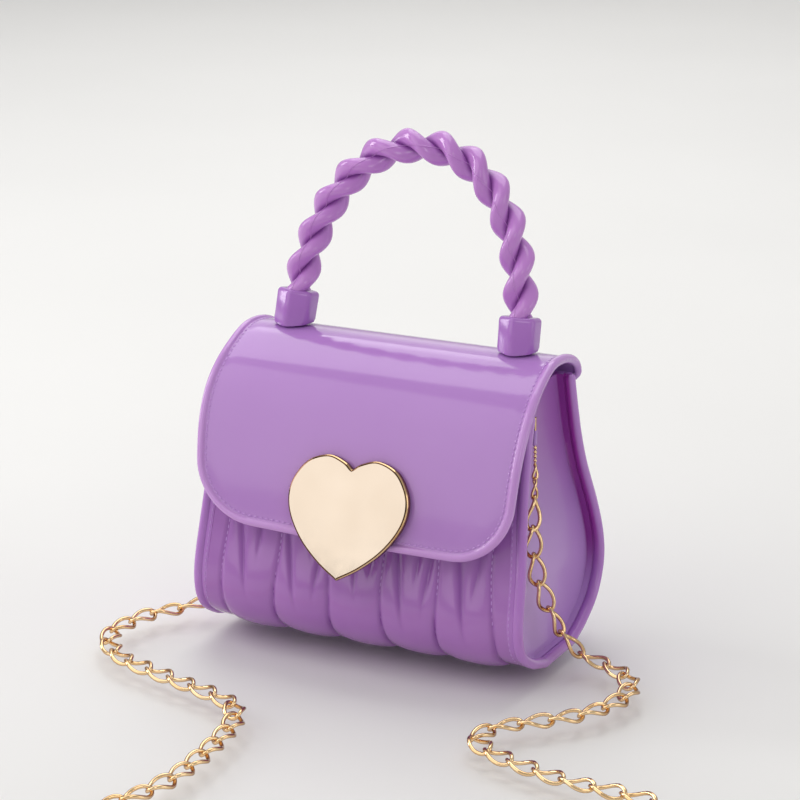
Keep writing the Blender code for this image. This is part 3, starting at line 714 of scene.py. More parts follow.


# deep: a painted glow on the shaded underside by the curl; pale: a painted highlight along the rim
FLAP_SKIN = MouldedPlastic(
    "flap_skin", Slot.LILAC, (0.465, 0.235, 0.605), (0.45, 0.22, 0.59), 0.10, 14.0, 0.8, 0.0003,
    deep=(0.50, 0.13, 0.57), pale=(0.56, 0.29, 0.68),
)
BODY_SKIN = MouldedPlastic(
    "body_skin", Slot.LILAC, (0.43, 0.20, 0.57), (0.41, 0.185, 0.55), 0.14, 24.0, 0.6, 0.0002
)
# deep: painted shade in the gathers and along the sewn channels
PLEAT_SKIN = MouldedPlastic(
    "pleat_skin", Slot.PLEAT, (0.40, 0.165, 0.51), (0.37, 0.145, 0.48), 0.13, 60.0, 0.5, 0.0002,
    deep=(0.25, 0.06, 0.36),
)
# deep: painted shadow high up and along the rim; pale: painted light towards the bottom
GUSSET_SKIN = MouldedPlastic(
    "gusset_skin", Slot.GUSSET, (0.42, 0.21, 0.58), (0.40, 0.195, 0.555), 0.30, 14.0, 0.4, 0.0002,
    deep=(0.29, 0.035, 0.33), pale=(0.54, 0.31, 0.70),
)
# deep: painted shade on the bead's inner side and lower lip
PIPING_SKIN = MouldedPlastic(
    "piping_skin", Slot.PIPING, (0.46, 0.20, 0.60), (0.43, 0.18, 0.56), 0.14, 90.0, 0.4, 0.0001,
    deep=(0.36, 0.03, 0.36),
)
STITCH_SKIN = MouldedPlastic(
    "stitch_skin", Slot.PIPING, (0.52, 0.27, 0.67), (0.48, 0.24, 0.63), 0.16, 200.0, 0.3, 0.0001
)
COLLAR_SKIN = MouldedPlastic(
    "collar_skin", Slot.LILAC, (0.43, 0.175, 0.57), (0.40, 0.16, 0.54), 0.13, 60.0
)
# deep: painted shade in the valleys between the strands
ROPE_SKIN = MouldedPlastic(
    "rope_skin", Slot.LILAC, (0.55, 0.24, 0.65), (0.52, 0.22, 0.62), 0.12, 80.0,
    deep=(0.27, 0.07, 0.36),
)
HEART_GOLD = PlatedMetal(
    "heart_gold", Slot.PALE_GOLD, (0.68, 0.575, 0.475), (0.64, 0.535, 0.435), 0.10
)
# edge: painted reflection of darker things at grazing angles; deep: a painted reflection line in
# the bevel and painted shade on the wall behind
HEART_EDGE_GOLD = PlatedMetal(
    "heart_edge_gold", Slot.PALE_GOLD, (0.86, 0.62, 0.34), (0.70, 0.46, 0.22), 0.08,
    edge=(0.30, 0.15, 0.06), deep=(0.10, 0.045, 0.03),
)
# edge: painted reflection of darker things at grazing angles
CHAIN_GOLD = PlatedMetal(
    "chain_link_gold", Slot.CHAIN_GOLD, (1.0, 0.74, 0.44), (0.90, 0.60, 0.30), 0.06,
    edge=(0.34, 0.15, 0.04),
)
SNAP_METAL = PlatedMetal(
    "snap_plate", Slot.SNAP, (0.62, 0.56, 0.46), (0.52, 0.46, 0.36), 0.26, 0.5
)


# The bag's lines


@dataclass
class BodyLines:
    """Sizes and outline of the body, as in the part's source."""

    width: float = 0.146
    depth: float = 0.085
    back_height: float = 0.117
    top_narrowing: float = 0.0035
    narrowing_span: Span = (0.2415, 0.821)
    sheet: float = 0.002
    bead_radius: float = 0.0022
    outline_shares: Line = (
        (-0.510, 0.929), (-0.647, 0.812), (-0.790, 0.608), (-0.900, 0.415), (-1.000, 0.232),
        (-0.930, 0.124), (-0.680, 0.058), (-0.420, 0.026), (-0.180, 0.0), (0.140, 0.0),
        (0.380, 0.032), (0.600, 0.068), (0.840, 0.130), (0.985, 0.227), (0.990, 0.333),
        (0.870, 0.473), (0.650, 0.652), (0.478, 0.840), (0.352, 1.0),
    )
    base_start: int = 8
    base_end: int = 9
    steps: int = 12

    def outline(self) -> Array:
        """The bead's centre line as (y, z) points, down the front and up the back."""
        points = [(y * self.depth / 2.0, z * self.back_height) for y, z in self.outline_shares]
        curve = smooth_line(points, self.steps)
        curve[:, 1] = np.maximum(curve[:, 1], self.bead_radius)
        return curve

    def half_width(self, height: Array) -> Array:
        """Half the width between the bead centres at these heights."""
        narrow = rise(height / self.back_height, *self.narrowing_span)
        return self.width / 2.0 - self.top_narrowing * narrow

    def inside(self, height: Array) -> Array:
        """Half the width of the sheets between the beads at these heights."""
        return self.half_width(height) - self.bead_radius - CLEARANCE

    def front(self) -> Track:
        """The front's stretch of the outline."""
        return Track(self.outline()[: self.base_start * self.steps + 1])

    def back(self) -> Track:
        """The back's stretch of the outline."""
        return Track(self.outline()[self.base_end * self.steps :])

    def round_trip(self, count: int) -> tuple[Track, Array, Array, Array]:
        """The whole outline, read at even steps.

        Args:
            count: How many places it is read at.

        Returns:
            The outline, the distances, and the spots and normals there.
        """
        outline = Track(self.outline())
        along = np.linspace(0.0, outline.length, count)
        return outline, along, outline.at(along), outline.normal(along)


@dataclass
class FlapLines:
    """Sizes and middle line of the flap, as in the part's source."""

    width: float = 0.139
    reach: float = 0.0502
    height: float = 0.1255
    corner_radius: float = 0.0235
    bead_radius: float = 0.002
    sheet: float = 0.002
    hinge_depth: float = 0.0230
    hinge_height: float = 0.112
    tail: float = 0.0108
    tail_half_width: float = 0.064
    tail_slant: float = 0.28
    shares: Line = (
        (0.452, 0.928), (0.410, 0.957), (0.297, 0.982), (0.120, 0.9985), (-0.080, 0.998),
        (-0.269, 0.971), (-0.488, 0.919), (-0.657, 0.852), (-0.775, 0.770), (-0.857, 0.679),
        (-0.932, 0.560), (-1.000, 0.4325),
    )

    def track(self) -> Track:
        """The middle line from the hinge over the top to the hem."""
        start = (self.hinge_depth - self.sheet / 2.0, self.hinge_height)
        points = [start] + [(y * self.reach, z * self.height) for y, z in self.shares]
        return Track(smooth_line(points, 16))


# The shoulder chain


@dataclass
class ShoulderChain:
    """The twisted curb chain, its links modelled once and copied along the route."""

    link_sizes: tuple[float, ...] = (0.44, 0.62, *(1.0,) * 73, 0.62, 0.44)
    wire: float = 0.00165
    small_wire: float = 0.0012
    link_length: float = 0.0160
    link_width: float = 0.0095
    waist: float = 0.16
    twist: float = math.radians(42.0)
    around: int = 8
    along: int = 28
    seed: int = 11
    hang_span: Span = (0.004, 0.024)
    floor_roll: float = 0.10
    hang_roll: float = 0.35

    def __post_init__(self) -> None:
        """Reads the route once."""
        self.route = Track(smooth_line(CHAIN_ROUTE, 8))

    def model_link(self, wire: float) -> Piece:
        """One twisted oval link of this wire about the origin, along X and flat in the XY plane."""
        turn = np.linspace(0.0, 2.0 * math.pi, self.along + 1)
        way = np.cos(turn)
        side = np.sin(turn) * (1.0 - self.waist * way**2) * (self.link_width - wire) / 2.0
        length = way * (self.link_length - wire) / 2.0
        angle = self.twist * way
        path = np.stack([length, side * np.cos(angle), side * np.sin(angle)], axis=1)
        ahead = loop_ways(path[:-1])
        ahead = np.vstack([ahead, ahead[:1]])
        out = path * np.array([0.45, 1.0, 1.0])
        out = unit(out - ahead * np.sum(out * ahead, axis=1, keepdims=True))
        ring = arc(0.0, 360.0, self.around + 1, wire / 2.0)
        points = tube_points(path, out, np.cross(ahead, out), ring)
        return close_up(grid_piece("chain_link", points))

    def places(self) -> list[Matrix]:
        """Where each link goes, its flat side down on the floor and outwards above it."""
        rng = np.random.default_rng(self.seed)
        route = self.route
        ends = np.cumsum([0.0, *self.link_sizes]) * route.length / sum(self.link_sizes)
        places = []
        for size, before, after in zip(self.link_sizes, ends, ends[1:]):
            start, spot, end = route.at(np.array([before, (before + after) / 2.0, after]))
            along = Vector(end - start).normalized()
            hang = float(rise(spot[2], *self.hang_span))
            flat = Vector((math.copysign(1.0, spot[0]) * hang, 0.0, 1.0 - hang))
            flat = (flat - along * flat.dot(along)).normalized()
            roll = float(rng.uniform(-1.0, 1.0)) * (self.floor_roll + self.hang_roll * hang)
            flat = Matrix.Rotation(roll, 3, along) @ flat
            place = axes_matrix((start + end) / 2.0, along, flat.cross(along), flat)
            places.append(place @ Matrix.Scale(size, 4))
        return places

    def build(self) -> None:
        places = list(zip(self.link_sizes, self.places()))
        parts = []
        for size in sorted(set(self.link_sizes)):
            model = self.model_link(max(self.wire, self.small_wire / size))
            spots = [spot for own, spot in places if own == size]
            parts.append(copied("chain_links", model, spots))
        chain = joined("shoulder_chain", parts)
        dress(chain, CHAIN_GOLD, Body.BAG, "strap_chain", angle=60.0)


# The studio


@dataclass(frozen=True)
class Lamp:
    """One soft rectangular lamp: where it stands, what it faces, its size, power and tint."""

    name: str
    place: tuple[float, float, float]
    aim: tuple[float, float, float]
    size: Span
    power: float
    tint: Color = (1.0, 1.0, 1.0)

    def add(self) -> None:
        """Adds the lamp to the scene."""
        data = bpy.data.lights.new(self.name, "AREA")
        data.shape = "RECTANGLE"
        data.size, data.size_y = self.size
        data.energy = self.power
        data.color = self.tint
        lamp = bpy.data.objects.new(self.name, data)
        lamp.location = self.place
        way = Vector(self.aim) - Vector(self.place)
        lamp.rotation_euler = way.to_track_quat("-Z", "Y").to_euler()
        bpy.context.scene.collection.objects.link(lamp)


LAMPS = (
    Lamp("front_card", (-0.62, -0.88, 0.84), (0.0, 0.0, 0.08), (1.2, 1.6), 5.9, (1.0, 0.985, 0.95)),
    Lamp("top_box", (-0.30, 0.64, 1.25), (-0.30, 0.62, 0.0), (1.25, 1.2), 8.5),
    Lamp("right_window", (0.95, -1.05, 0.85), (0.0, 0.0, 0.08), (0.35, 0.6), 1.3),
    Lamp("left_strip", (-1.3, -0.15, 0.55), (0.0, 0.0, 0.10), (0.3, 0.9), 4.5),
    Lamp("right_fill", (1.5, 0.10, 0.45), (0.0, 0.0, 0.05), (0.9, 0.8), 2.2),
    Lamp("back_box", (-0.70, 1.3, 0.9), (0.0, 0.0, 0.05), (1.3, 1.2), 3.0),
)


@dataclass
class Studio:
    """The camera at the photograph's angle, a pale floor and soft lamps."""

    camera_place: tuple[float, float, float] = (0.521451, -1.069259, 0.459842)
    camera_turn: tuple[float, float, float] = (math.radians(73.2), 0.0, math.radians(26.0))
    lens: float = 135.0
    sensor: float = 36.0
    clip: Span = (0.05, 20.0)
    world_tone: float = 0.9
    world_strength: float = 0.52
    floor_half_width: float = 3.0
    floor_profile: Line = ((-2.0, 0.0), (1.6, 0.0), (1.9, 0.08), (2.05, 0.3), (2.1, 2.2))
    floor_tones: tuple[Color, Color] = ((0.775, 0.768, 0.755), (0.80, 0.793, 0.78))

    def place_camera(self) -> None:
        """Adds the camera and sets the view transform."""
        data = bpy.data.cameras.new("photo_camera")
        data.lens, data.sensor_width = self.lens, self.sensor
        data.clip_start, data.clip_end = self.clip
        camera = bpy.data.objects.new("photo_camera", data)
        camera.location, camera.rotation_euler = self.camera_place, self.camera_turn
        bpy.context.scene.collection.objects.link(camera)
        bpy.context.scene.camera = camera
        bpy.context.scene.view_settings.view_transform = "Standard"

    def light(self) -> None:
        """Adds the lamps and the world's even light."""
        for lamp in LAMPS:
            lamp.add()
        world = bpy.data.worlds.new("even_light")
        bpy.context.scene.world = world
        world.use_nodes = True
        background = world.node_tree.nodes["Background"]
        background.inputs["Color"].default_value = (*(self.world_tone,) * 3, 1.0)
        background.inputs["Strength"].default_value = self.world_strength

    def lay_floor(self) -> None:
        """Adds the pale floor that curves up behind the bag."""
        across = np.linspace(-self.floor_half_width, self.floor_half_width, 5)
        line = smooth_line(self.floor_profile, 8)
        points = np.array([[(x, y, z) for x in across] for y, z in line])
        floor = grid_piece("studio_floor", points, (0.0, 0.0, 1.0))
        smooth_shade(floor, 80.0)
        material = bpy.data.materials.new("pale_floor")
        material.use_nodes = True
        nodes = Nodes(material.node_tree)
        tone = nodes.ramp(nodes.noise(nodes.where(), *FLOOR_CLOUDS), *self.floor_tones)
        shader = material.node_tree.nodes["Principled BSDF"]
        nodes.feed(shader, {"Base Color": tone, "Roughness": 0.6})
        floor.data.materials.append(material)


# The flap


@dataclass
class Flap:
    """The flap's moulded skin with its rim, the dashes in the rim's groove and the curl."""

    lines: FlapLines
    rows: int = 84
    columns: int = 48
    corner_rows: int = 16
    # Insets from the rim and shares of the face's height, down into the groove and out again
    groove: Line = (
        (0.0092, 1.0), (0.0080, 1.0), (0.0071, 0.98), (0.0062, 0.94), (0.0054, 0.90),
        (0.0047, 0.86), (0.0041, 0.85), (0.0037, 0.89), (0.0034, 1.0),
    )
    bead_start: float = 124.0
    bead_steps: int = 11
    underside_blend: float = 0.0016
    thread: Thread = Thread(0.0026, 0.0019, 0.0009)
    stitch_inset: float = 0.0044
    stitch_start: float = 0.004
    stitch_height: float = 0.90
    hem_knots: int = 60
    # Insets over which the painted highlight on the rim band fades out inwards
    rim_tone: Span = (0.0042, 0.0032)
    # The underside's band of painted glow: where it begins and ends along the flap, and its insets
    band_start: Span = (0.020, 0.035)
    band_end: Span = (0.085, 0.055)
    band_inset: Span = (0.001, 0.0035)
    tail_narrowing: Span = (0.004, -0.006)
    tail_flattening: Span = (-0.005, 0.0)
    shoulder: float = 0.0016
    shoulder_place: Span = (0.072, 0.026)
    hem_narrowing: float = 0.0008
    hem_span: Span = (0.09, 0.13)
    # How the hem hangs: sideways, lifted, and lifted further towards the left
    hang_span: Span = (0.08, 0.13)
    askew: float = 0.0012
    lift: float = 0.0010
    tilt: float = 0.0018
    tilt_reach: float = -0.07
    blend_start: tuple[float, float, float] = (0.0, 0.0245, 0.1085)
    blend_end: tuple[float, float, float] = (0.0, 0.0185, 0.1145)

    def __post_init__(self) -> None:
        """Reads the middle line and the face's height once."""
        self.track = self.lines.track()
        self.face = self.lines.sheet / 2.0

    def edge(self, inset: float) -> tuple[Array, Array]:
        """The rim from the tail down the left side, round the corner, to the hem's middle left.

        Args:
            inset: The distance inside the rim's outermost line.

        Returns:
            The half widths and the distances along the flap, for the left side's rows.
        """
        lines = self.lines
        widest = lines.width / 2.0 + lines.bead_radius
        radius = lines.corner_radius + lines.bead_radius - inset
        straight = self.track.length + lines.bead_radius - inset - radius
        count = self.rows - self.corner_rows
        side = np.linspace(-lines.tail, straight, count, endpoint=False)
        turn, out = arc(0.0, 90.0, self.corner_rows + 1, radius).T[::-1]
        along = np.concatenate([side, straight + turn])
        wide = widest - inset - np.concatenate([np.zeros(count), radius - out])
        narrow = rise(along, *self.tail_narrowing) * (widest - lines.tail_half_width)
        wide = wide - narrow + self.shoulder * hump(along, *self.shoulder_place)
        return wide - self.hem_narrowing * rise(along, *self.hem_span), along

    def ring(self, inset: float) -> tuple[Array, Array]:
        """The whole rim, from the left side's tail round the hem to the right side's.

        Args:
            inset: The distance inside the rim's outermost line.

        Returns:
            The places across and the distances along the flap.
        """
        wide, along = self.edge(inset)
        hem = np.linspace(-wide[-1], wide[-1], self.columns + 1)[1:-1]
        x = np.concatenate([-wide, hem, wide[::-1]])
        return x, np.concatenate([along, np.full(len(hem), along[-1]), along[::-1]])

    def place(self, x: Array, along: Array, stand: Array) -> Array:
        """Points of the flap from its plan, with the hem hanging slightly askew.

        Args:
            x: Places across.
            along: Distances along the middle line.
            stand: Heights off the middle line, outwards.

        Returns:
            The points, by three.
        """
        low = rise(along, *self.hang_span)
        along = along - low * (self.lift + self.tilt * rise(x, 0.0, self.tilt_reach))
        spot = self.track.at(along) + self.track.normal(along) * stand[..., None]
        spot[..., 0] += self.lines.tail_slant * np.maximum(-along, 0.0)
        return with_x(x + self.askew * low, spot)

    def rim_profile(self, sign: float) -> tuple[Array, Array]:
        """Insets and heights of one side of the skin, from the face out to the rim's edge.

        Args:
            sign: 1 for the outside, and -1 for the underside, which has no groove.

        Returns:
            The insets and the heights.
        """
        radius = self.lines.bead_radius
        across, up = arc(self.bead_start, 0.0, self.bead_steps, radius).T
        groove, shares = np.array(self.groove).T
        inset = np.concatenate([groove, radius - across])
        height = np.concatenate([self.face * shares, up])
        if sign < 0.0:
            level = np.clip((inset - radius) / self.underside_blend, 0.0, 1.0)
            plain = np.maximum(height, self.face) * (1.0 - level) + self.face * level
            bead = slice(1 - self.bead_steps, None)
            plain[bead] = np.minimum(plain[bead], height[bead])
            height = plain
        return inset, sign * height

    def shell(self, sign: float) -> list[Piece]:
        """The face and the rim band of one side of the skin.

        Args:
            sign: 1 for the outside and -1 for the underside.

        Returns:
            The two grids.
        """
        inset, height = self.rim_profile(sign)
        wide, along = self.edge(inset[0])
        x = wide[:, None] * np.linspace(-1.0, 1.0, self.columns + 1)
        down = np.broadcast_to(along[:, None], x.shape)
        name = "skin_out" if sign > 0.0 else "skin_in"
        level = self.place(x, down, np.full_like(x, sign * self.face))
        plain = np.zeros_like(x)
        face = grid_piece(name, level, deep=plain, pale=plain)
        rings = np.array([self.ring(depth) for depth in inset])
        x, down = rings[:, 0], rings[:, 1]
        flat = rise(down, *self.tail_flattening)
        tail = sign * np.minimum(np.abs(height), self.face)
        band = self.place(x, down, height[:, None] * flat + tail[:, None] * (1.0 - flat))
        # Painted highlight on the outside's rim band, painted glow on the underside's band by the
        # curl
        rim = np.broadcast_to(rise(inset, *self.rim_tone)[:, None], x.shape)
        curl = rise(down, *self.band_end) * rise(down, *self.band_start)
        curl = curl * rise(inset, *self.band_inset)[:, None]
        if sign > 0.0:
            tones = {"deep": 0.0 * curl, "pale": rim}
        else:
            tones = {"deep": curl, "pale": 0.0 * rim}
        return [face, grid_piece(f"{name}_band", band, **tones)]

    def build_skin(self) -> None:
        """The skin from the weld on the back over the curl to the hem."""
        parts = self.shell(1.0) + self.shell(-1.0)
        skin = close_up(joined("flap_skin", parts), 2.0 * MERGE_GAP)
        dress(skin, FLAP_SKIN, None, "flap_panel", "flap_bead", "hinge_strip")
        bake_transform(skin)

    def build_stitches(self) -> None:
        """The raised dashes in the groove inside the rim."""
        wide, along = self.edge(self.stitch_inset)
        keep = along > self.stitch_start
        hem = np.linspace(-wide[-1], wide[-1], self.hem_knots)[1:-1]
        x = np.concatenate([-wide[keep], hem, wide[keep][::-1]])
        down = np.concatenate([along[keep], np.full(len(hem), along[-1]), along[keep][::-1]])
        plan = Track(np.stack([x, down], axis=1))
        seams = []
        for index in range(int(plan.length / self.thread.pitch)):
            distance = self.thread.pitch * (index + 0.5)
            ends = plan.at(self.thread.ends(distance))
            stand = np.full(2, self.face * self.stitch_height)
            start, end = self.place(ends[:, 0], ends[:, 1], stand)
            out = self.track.normal(plan.at(np.array(distance))[1])
            seams.append((start, end, Vector((0.0, *out))))
        self.thread.sew("flap_stitches", Body.FLAP, seams)

    def build(self) -> None:
        """Makes the flap."""
        self.build_skin()
        self.build_stitches()


# The body


@dataclass
class BagBody:
    """The pleated front, the base, the back, the side walls and their piping."""

    lines: BodyLines
    thread: Thread = Thread(0.0027, 0.0018, 0.0006)
    # Rows and columns of the sheets, and the places round the outline of the rest
    front_size: tuple[int, int] = (97, 221)
    front_crowding: float = 0.85
    base_size: tuple[int, int] = (13, 41)
    back_size: tuple[int, int] = (81, 61)
    piping_rings: int = 261
    wall_rows: int = 181
    wall_shares: tuple[Span, Span] = ((0.0, 0.12), (0.15, 1.0))
    wall_columns: tuple[int, int] = (7, 34)
    # The sewn channels across the front, their sway, and how they close up towards the top
    channels: tuple[float, ...] = (-0.062, -0.037, -0.0124, 0.0124, 0.037, 0.062)
    channel_sway: float = 0.0006
    sway_waves: Span = (110.0, 90.0)
    channel_closing: float = 0.03
    closing_span: Span = (0.015, 0.055)
    channel_depth: float = 0.0005
    channel_width: float = 0.0009
    channel_shade: float = 0.6
    shade_width: float = 0.0007
    stitch_shares: Span = (0.25, 0.94)
    stitch_stand: float = 0.00015
    # The puffs between them, which are slack above and full below
    puff_height: float = 0.0031
    puff_width: float = 0.0248
    puff_margin: float = 0.0024
    puff_roundness: float = 0.45
    narrow_puffs: float = 1.5
    slack_share: float = 0.14
    slack_span: Span = (0.15, 0.45)
    full_span: Span = (0.50, 0.80)
    base_span: Span = (1.0, 0.90)
    # Gathers that fan down from under the flap: x at the top, x and height at the bottom, depth
    gather_top: float = 0.064
    gather_fade: Span = (0.088, 0.064)
    gather_span: Span = (1.15, 0.65)
    gather_widths: Span = (0.0026, 0.0007)
    gather_power: float = 1.5
    gather_limit: float = 1.4
    gather_shade_depth: float = 0.0011
    shade_span: Span = (0.15, 0.35)
    gathers: tuple[tuple[float, float, float, float], ...] = (
        (-0.0560, -0.0500, 0.024, 0.0009), (-0.0440, -0.0455, 0.038, 0.0008),
        (-0.0345, -0.0270, 0.022, 0.0010), (-0.0235, -0.0205, 0.040, 0.0008),
        (-0.0145, -0.0185, 0.026, 0.0010), (-0.0030, 0.0005, 0.030, 0.0009),
        (0.0085, 0.0060, 0.038, 0.0008), (0.0155, 0.0225, 0.020, 0.0010),
        (0.0285, 0.0270, 0.038, 0.0008), (0.0345, 0.0310, 0.028, 0.0009),
        (0.0435, 0.0500, 0.020, 0.0011), (0.0555, 0.0530, 0.036, 0.0008),
    )
    base_bevel: float = 0.0004
    back_fullness: float = 0.0008
    back_spans: tuple[Span, Span] = ((0.0, 0.3), (1.0, 0.6))
    # The piping's lip above and below, and the ends and the front's top where it is thinner
    lip_top: Line = ((-0.0046, 0.0009), (-0.0044, 0.00128), (-0.0034, 0.00140), (-0.0027, 0.00118))
    lip_low: Line = ((-0.0027, -0.0009), (-0.0046, -0.0009))
    bead_opening: float = 152.0
    bead_points: int = 23
    piping_end: float = 0.0018
    piping_thinning: float = 0.45
    flat_share: float = 0.40
    flat_span: Span = (0.0, 0.022)
    # Where the bead takes painted shade: up and across its section, and by height
    piping_deep_up: Span = (-0.15, 0.75)
    piping_deep_across: Span = (0.0012, -0.0004)
    piping_deep_height: Span = (0.02, 0.05)
    lip_stitch_inset: float = 0.0036
    lip_stitch_stand: float = 0.00142
    lip_stitch_margin: float = 0.003
    # The side walls: how deep they are sunk, the soft fold across them, and their painted shade and
    # painted light
    wall_thickness: float = 0.0016
    wall_sink: float = 0.0051
    dish: float = 0.0034
    dish_reach: float = 0.009
    fold: float = 0.0004
    fold_height: float = 0.034
    fold_curve: float = 3.0
    fold_width: float = 0.006
    fold_span: Span = (0.0, 0.01)
    shadow_share: float = 0.5
    shadow_span: Span = (0.045, 0.105)
    rim_shadow: Span = (0.0016, 0.0)
    rim_shadow_height: Span = (0.01, 0.04)
    pale_share: float = 0.8
    pale_span: Span = (0.065, 0.025)

    def channel_x(self, channel: float, height: Array) -> Array:
        """Where a channel runs at these heights: a slight sway on a straight line."""
        up, across = self.sway_waves
        sway = self.channel_sway * np.sin(height * up + channel * across)
        return channel * (1.0 - self.channel_closing * rise(height, *self.closing_span)) + sway

    def front_stand(self, x: Array, height: Array, share: Array) -> Array:
        """How far the front stands out of its plain sheet.

        Args:
            x: Places across.
            height: Heights above the floor.
            share: Shares of the way from the mouth to the base.

        Returns:
            The stand at each place.
        """
        fullness = rise(share, *self.full_span) * rise(share, *self.base_span)
        slack = rise(share, *self.slack_span)
        full = self.slack_share * slack + (1.0 - self.slack_share) * fullness
        middles = [self.channel_x(channel, height) for channel in self.channels]
        limit = self.lines.half_width(height) - self.puff_margin
        edges = [-limit, *middles, limit]
        stand = np.zeros_like(x)
        for left, right in zip(edges, edges[1:]):
            across = (x - left) / (right - left) * 2.0 - 1.0
            arch = np.clip(1.0 - across**2, 0.0, 1.0) ** self.puff_roundness
            size = np.clip((right - left) / self.puff_width, 0.0, 1.0) ** self.narrow_puffs
            stand = np.where(np.abs(across) <= 1.0, self.puff_height * full * size * arch, stand)
        sewn = sum(hump(x, middle, self.channel_width) for middle in middles)
        return stand - slack * (self.channel_depth * sewn + self.gathered(x, height))

    def gathered(self, x: Array, height: Array) -> Array:
        """How deep the gathers press the front in.

        Args:
            x: Places across.
            height: Heights above the floor.

        Returns:
            The depth at each place.
        """
        wide, narrow = self.gather_widths
        pressed = np.zeros_like(x)
        for top_x, low_x, low, depth in self.gathers:
            part = (self.gather_top - height) / (self.gather_top - low)
            part = np.clip(part, 0.0, self.gather_limit)
            middle = top_x + (low_x - top_x) * part
            width = wide + (narrow - wide) * np.minimum(part, 1.0)
            pleat = hump(x, middle, width, self.gather_power)
            pressed += depth * rise(part, *self.gather_span) * pleat
        return pressed * rise(height, *self.gather_fade)

    def front_grid(self, x: Array, along: Array, extra: float) -> Array:
        """Points of the front's outside.

        Args:
            x: Places across.
            along: Distances down the front.
            extra: A further height over the outside.

        Returns:
            The points, by three.
        """
        track = self.lines.front()
        spot, out = track.at(along), track.normal(along)
        stand = self.front_stand(x, spot[..., 1], along / track.length)
        return with_x(x, spot + out * (stand + self.lines.sheet / 2.0 + extra)[..., None])

    def thicken(self, sheet: Piece) -> Piece:
        """The sheet, given its thickness inwards."""
        finish_with(sheet, "SOLIDIFY", thickness=self.lines.sheet, offset=-1.0)
        return sheet

    def build_front(self) -> None:
        """The pleated front sheet."""
        track = self.lines.front()
        rows, columns = self.front_size
        along = track.length * np.linspace(0.0, 1.0, rows) ** self.front_crowding
        x = self.lines.inside(track.at(along)[:, 1])[:, None] * np.linspace(-1.0, 1.0, columns)
        down = np.broadcast_to(along[:, None], x.shape)
        points = self.front_grid(x, down, 0.0)
        height = points[..., 2]
        # Painted shade in the gathers and along the sewn channels, fading in below the mouth
        shade = np.clip(self.gathered(x, height) / self.gather_shade_depth, 0.0, 1.0)
        for channel in self.channels:
            near = hump(x, self.channel_x(channel, height), self.shade_width)
            shade = np.maximum(shade, self.channel_shade * near)
        shade = shade * rise(down / track.length, *self.shade_span)
        front = self.thicken(grid_piece("pleated_front", points, (0.0, -1.0, 0.0), deep=shade))
        dress(front, PLEAT_SKIN, Body.BAG, "front_panel", angle=60.0)

    def build_channel_stitches(self) -> None:
        """The dashes down each sewn channel of the front."""
        track = self.lines.front()
        first, last = (share * track.length for share in self.stitch_shares)
        seams = []
        for channel in self.channels:
            for distance in np.arange(first, last, self.thread.pitch):
                along = self.thread.ends(distance)
                x = self.channel_x(channel, track.at(along)[:, 1])
                start, end = self.front_grid(x, along, self.stitch_stand)
                seams.append((start, end, Vector((0.0, *track.normal(distance)))))
        self.thread.sew("channel_stitches", Body.BAG, seams)

    def build_base(self) -> None:
        """The flat base between the front and the back."""
        front, back = self.lines.front().points[-1][0], self.lines.back().points[0][0]
        edge = self.lines.inside(np.array(0.0))
        rows, columns = self.base_size
        y = np.linspace(front + CLEARANCE, back - CLEARANCE, rows)
        x = np.linspace(-edge, edge, columns)
        points = np.array([[(a, b, 0.0) for a in x] for b in y])
        base = self.thicken(grid_piece("base_sheet", points, (0.0, 0.0, -1.0)))
        finish_with(base, "BEVEL", width=self.base_bevel, segments=2, limit_method="ANGLE")
        dress(base, BODY_SKIN, Body.BAG, "base_panel")

    def build_back(self) -> None:
        """The back sheet, slightly full between its edges."""
        track = self.lines.back()
        rows, columns = self.back_size
        along = np.linspace(0.0, track.length, rows)
        spot, out = track.at(along), track.normal(along)
        share = np.linspace(-1.0, 1.0, columns)
        x = self.lines.inside(spot[:, 1])[:, None] * share
        down = along / track.length
        below, above = (rise(down, *span) for span in self.back_spans)
        full = (below * above)[:, None] * (1.0 - share**4)
        stand = self.lines.sheet / 2.0 + self.back_fullness * full
        points = with_x(x, spot[:, None, :] + out[:, None, :] * stand[..., None])
        back = self.thicken(grid_piece("back_sheet", points, (0.0, 1.0, 0.0)))
        dress(back, BODY_SKIN, Body.BAG, "back_panel", angle=60.0)

    def build_piping(self, side: Side) -> None:
        """The bead round one side, with its sewn lip and the dashes on it."""
        outline, along, spot, out = self.lines.round_trip(self.piping_rings)
        path = with_x(side.value * self.lines.half_width(spot[:, 1]), spot)
        across = np.tile([side.value, 0.0, 0.0], (len(along), 1))
        up = with_x(np.zeros(len(along)), out)
        radius = self.lines.bead_radius
        bead = arc(self.bead_opening, -self.bead_opening, self.bead_points, radius)
        section = np.array([*self.lip_top, *bead, *self.lip_low, self.lip_top[0]])
        nearest = np.minimum(along, outline.length - along)
        close = np.clip(1.0 - nearest / self.piping_end, 0.0, 1.0)
        rings = section * (1.0 - self.piping_thinning * close**2)[:, None, None]
        flatter = self.flat_share + (1.0 - self.flat_share) * rise(along, *self.flat_span)
        rings[..., 0] *= np.where(section[:, 0] > 0.0, flatter[:, None], 1.0)
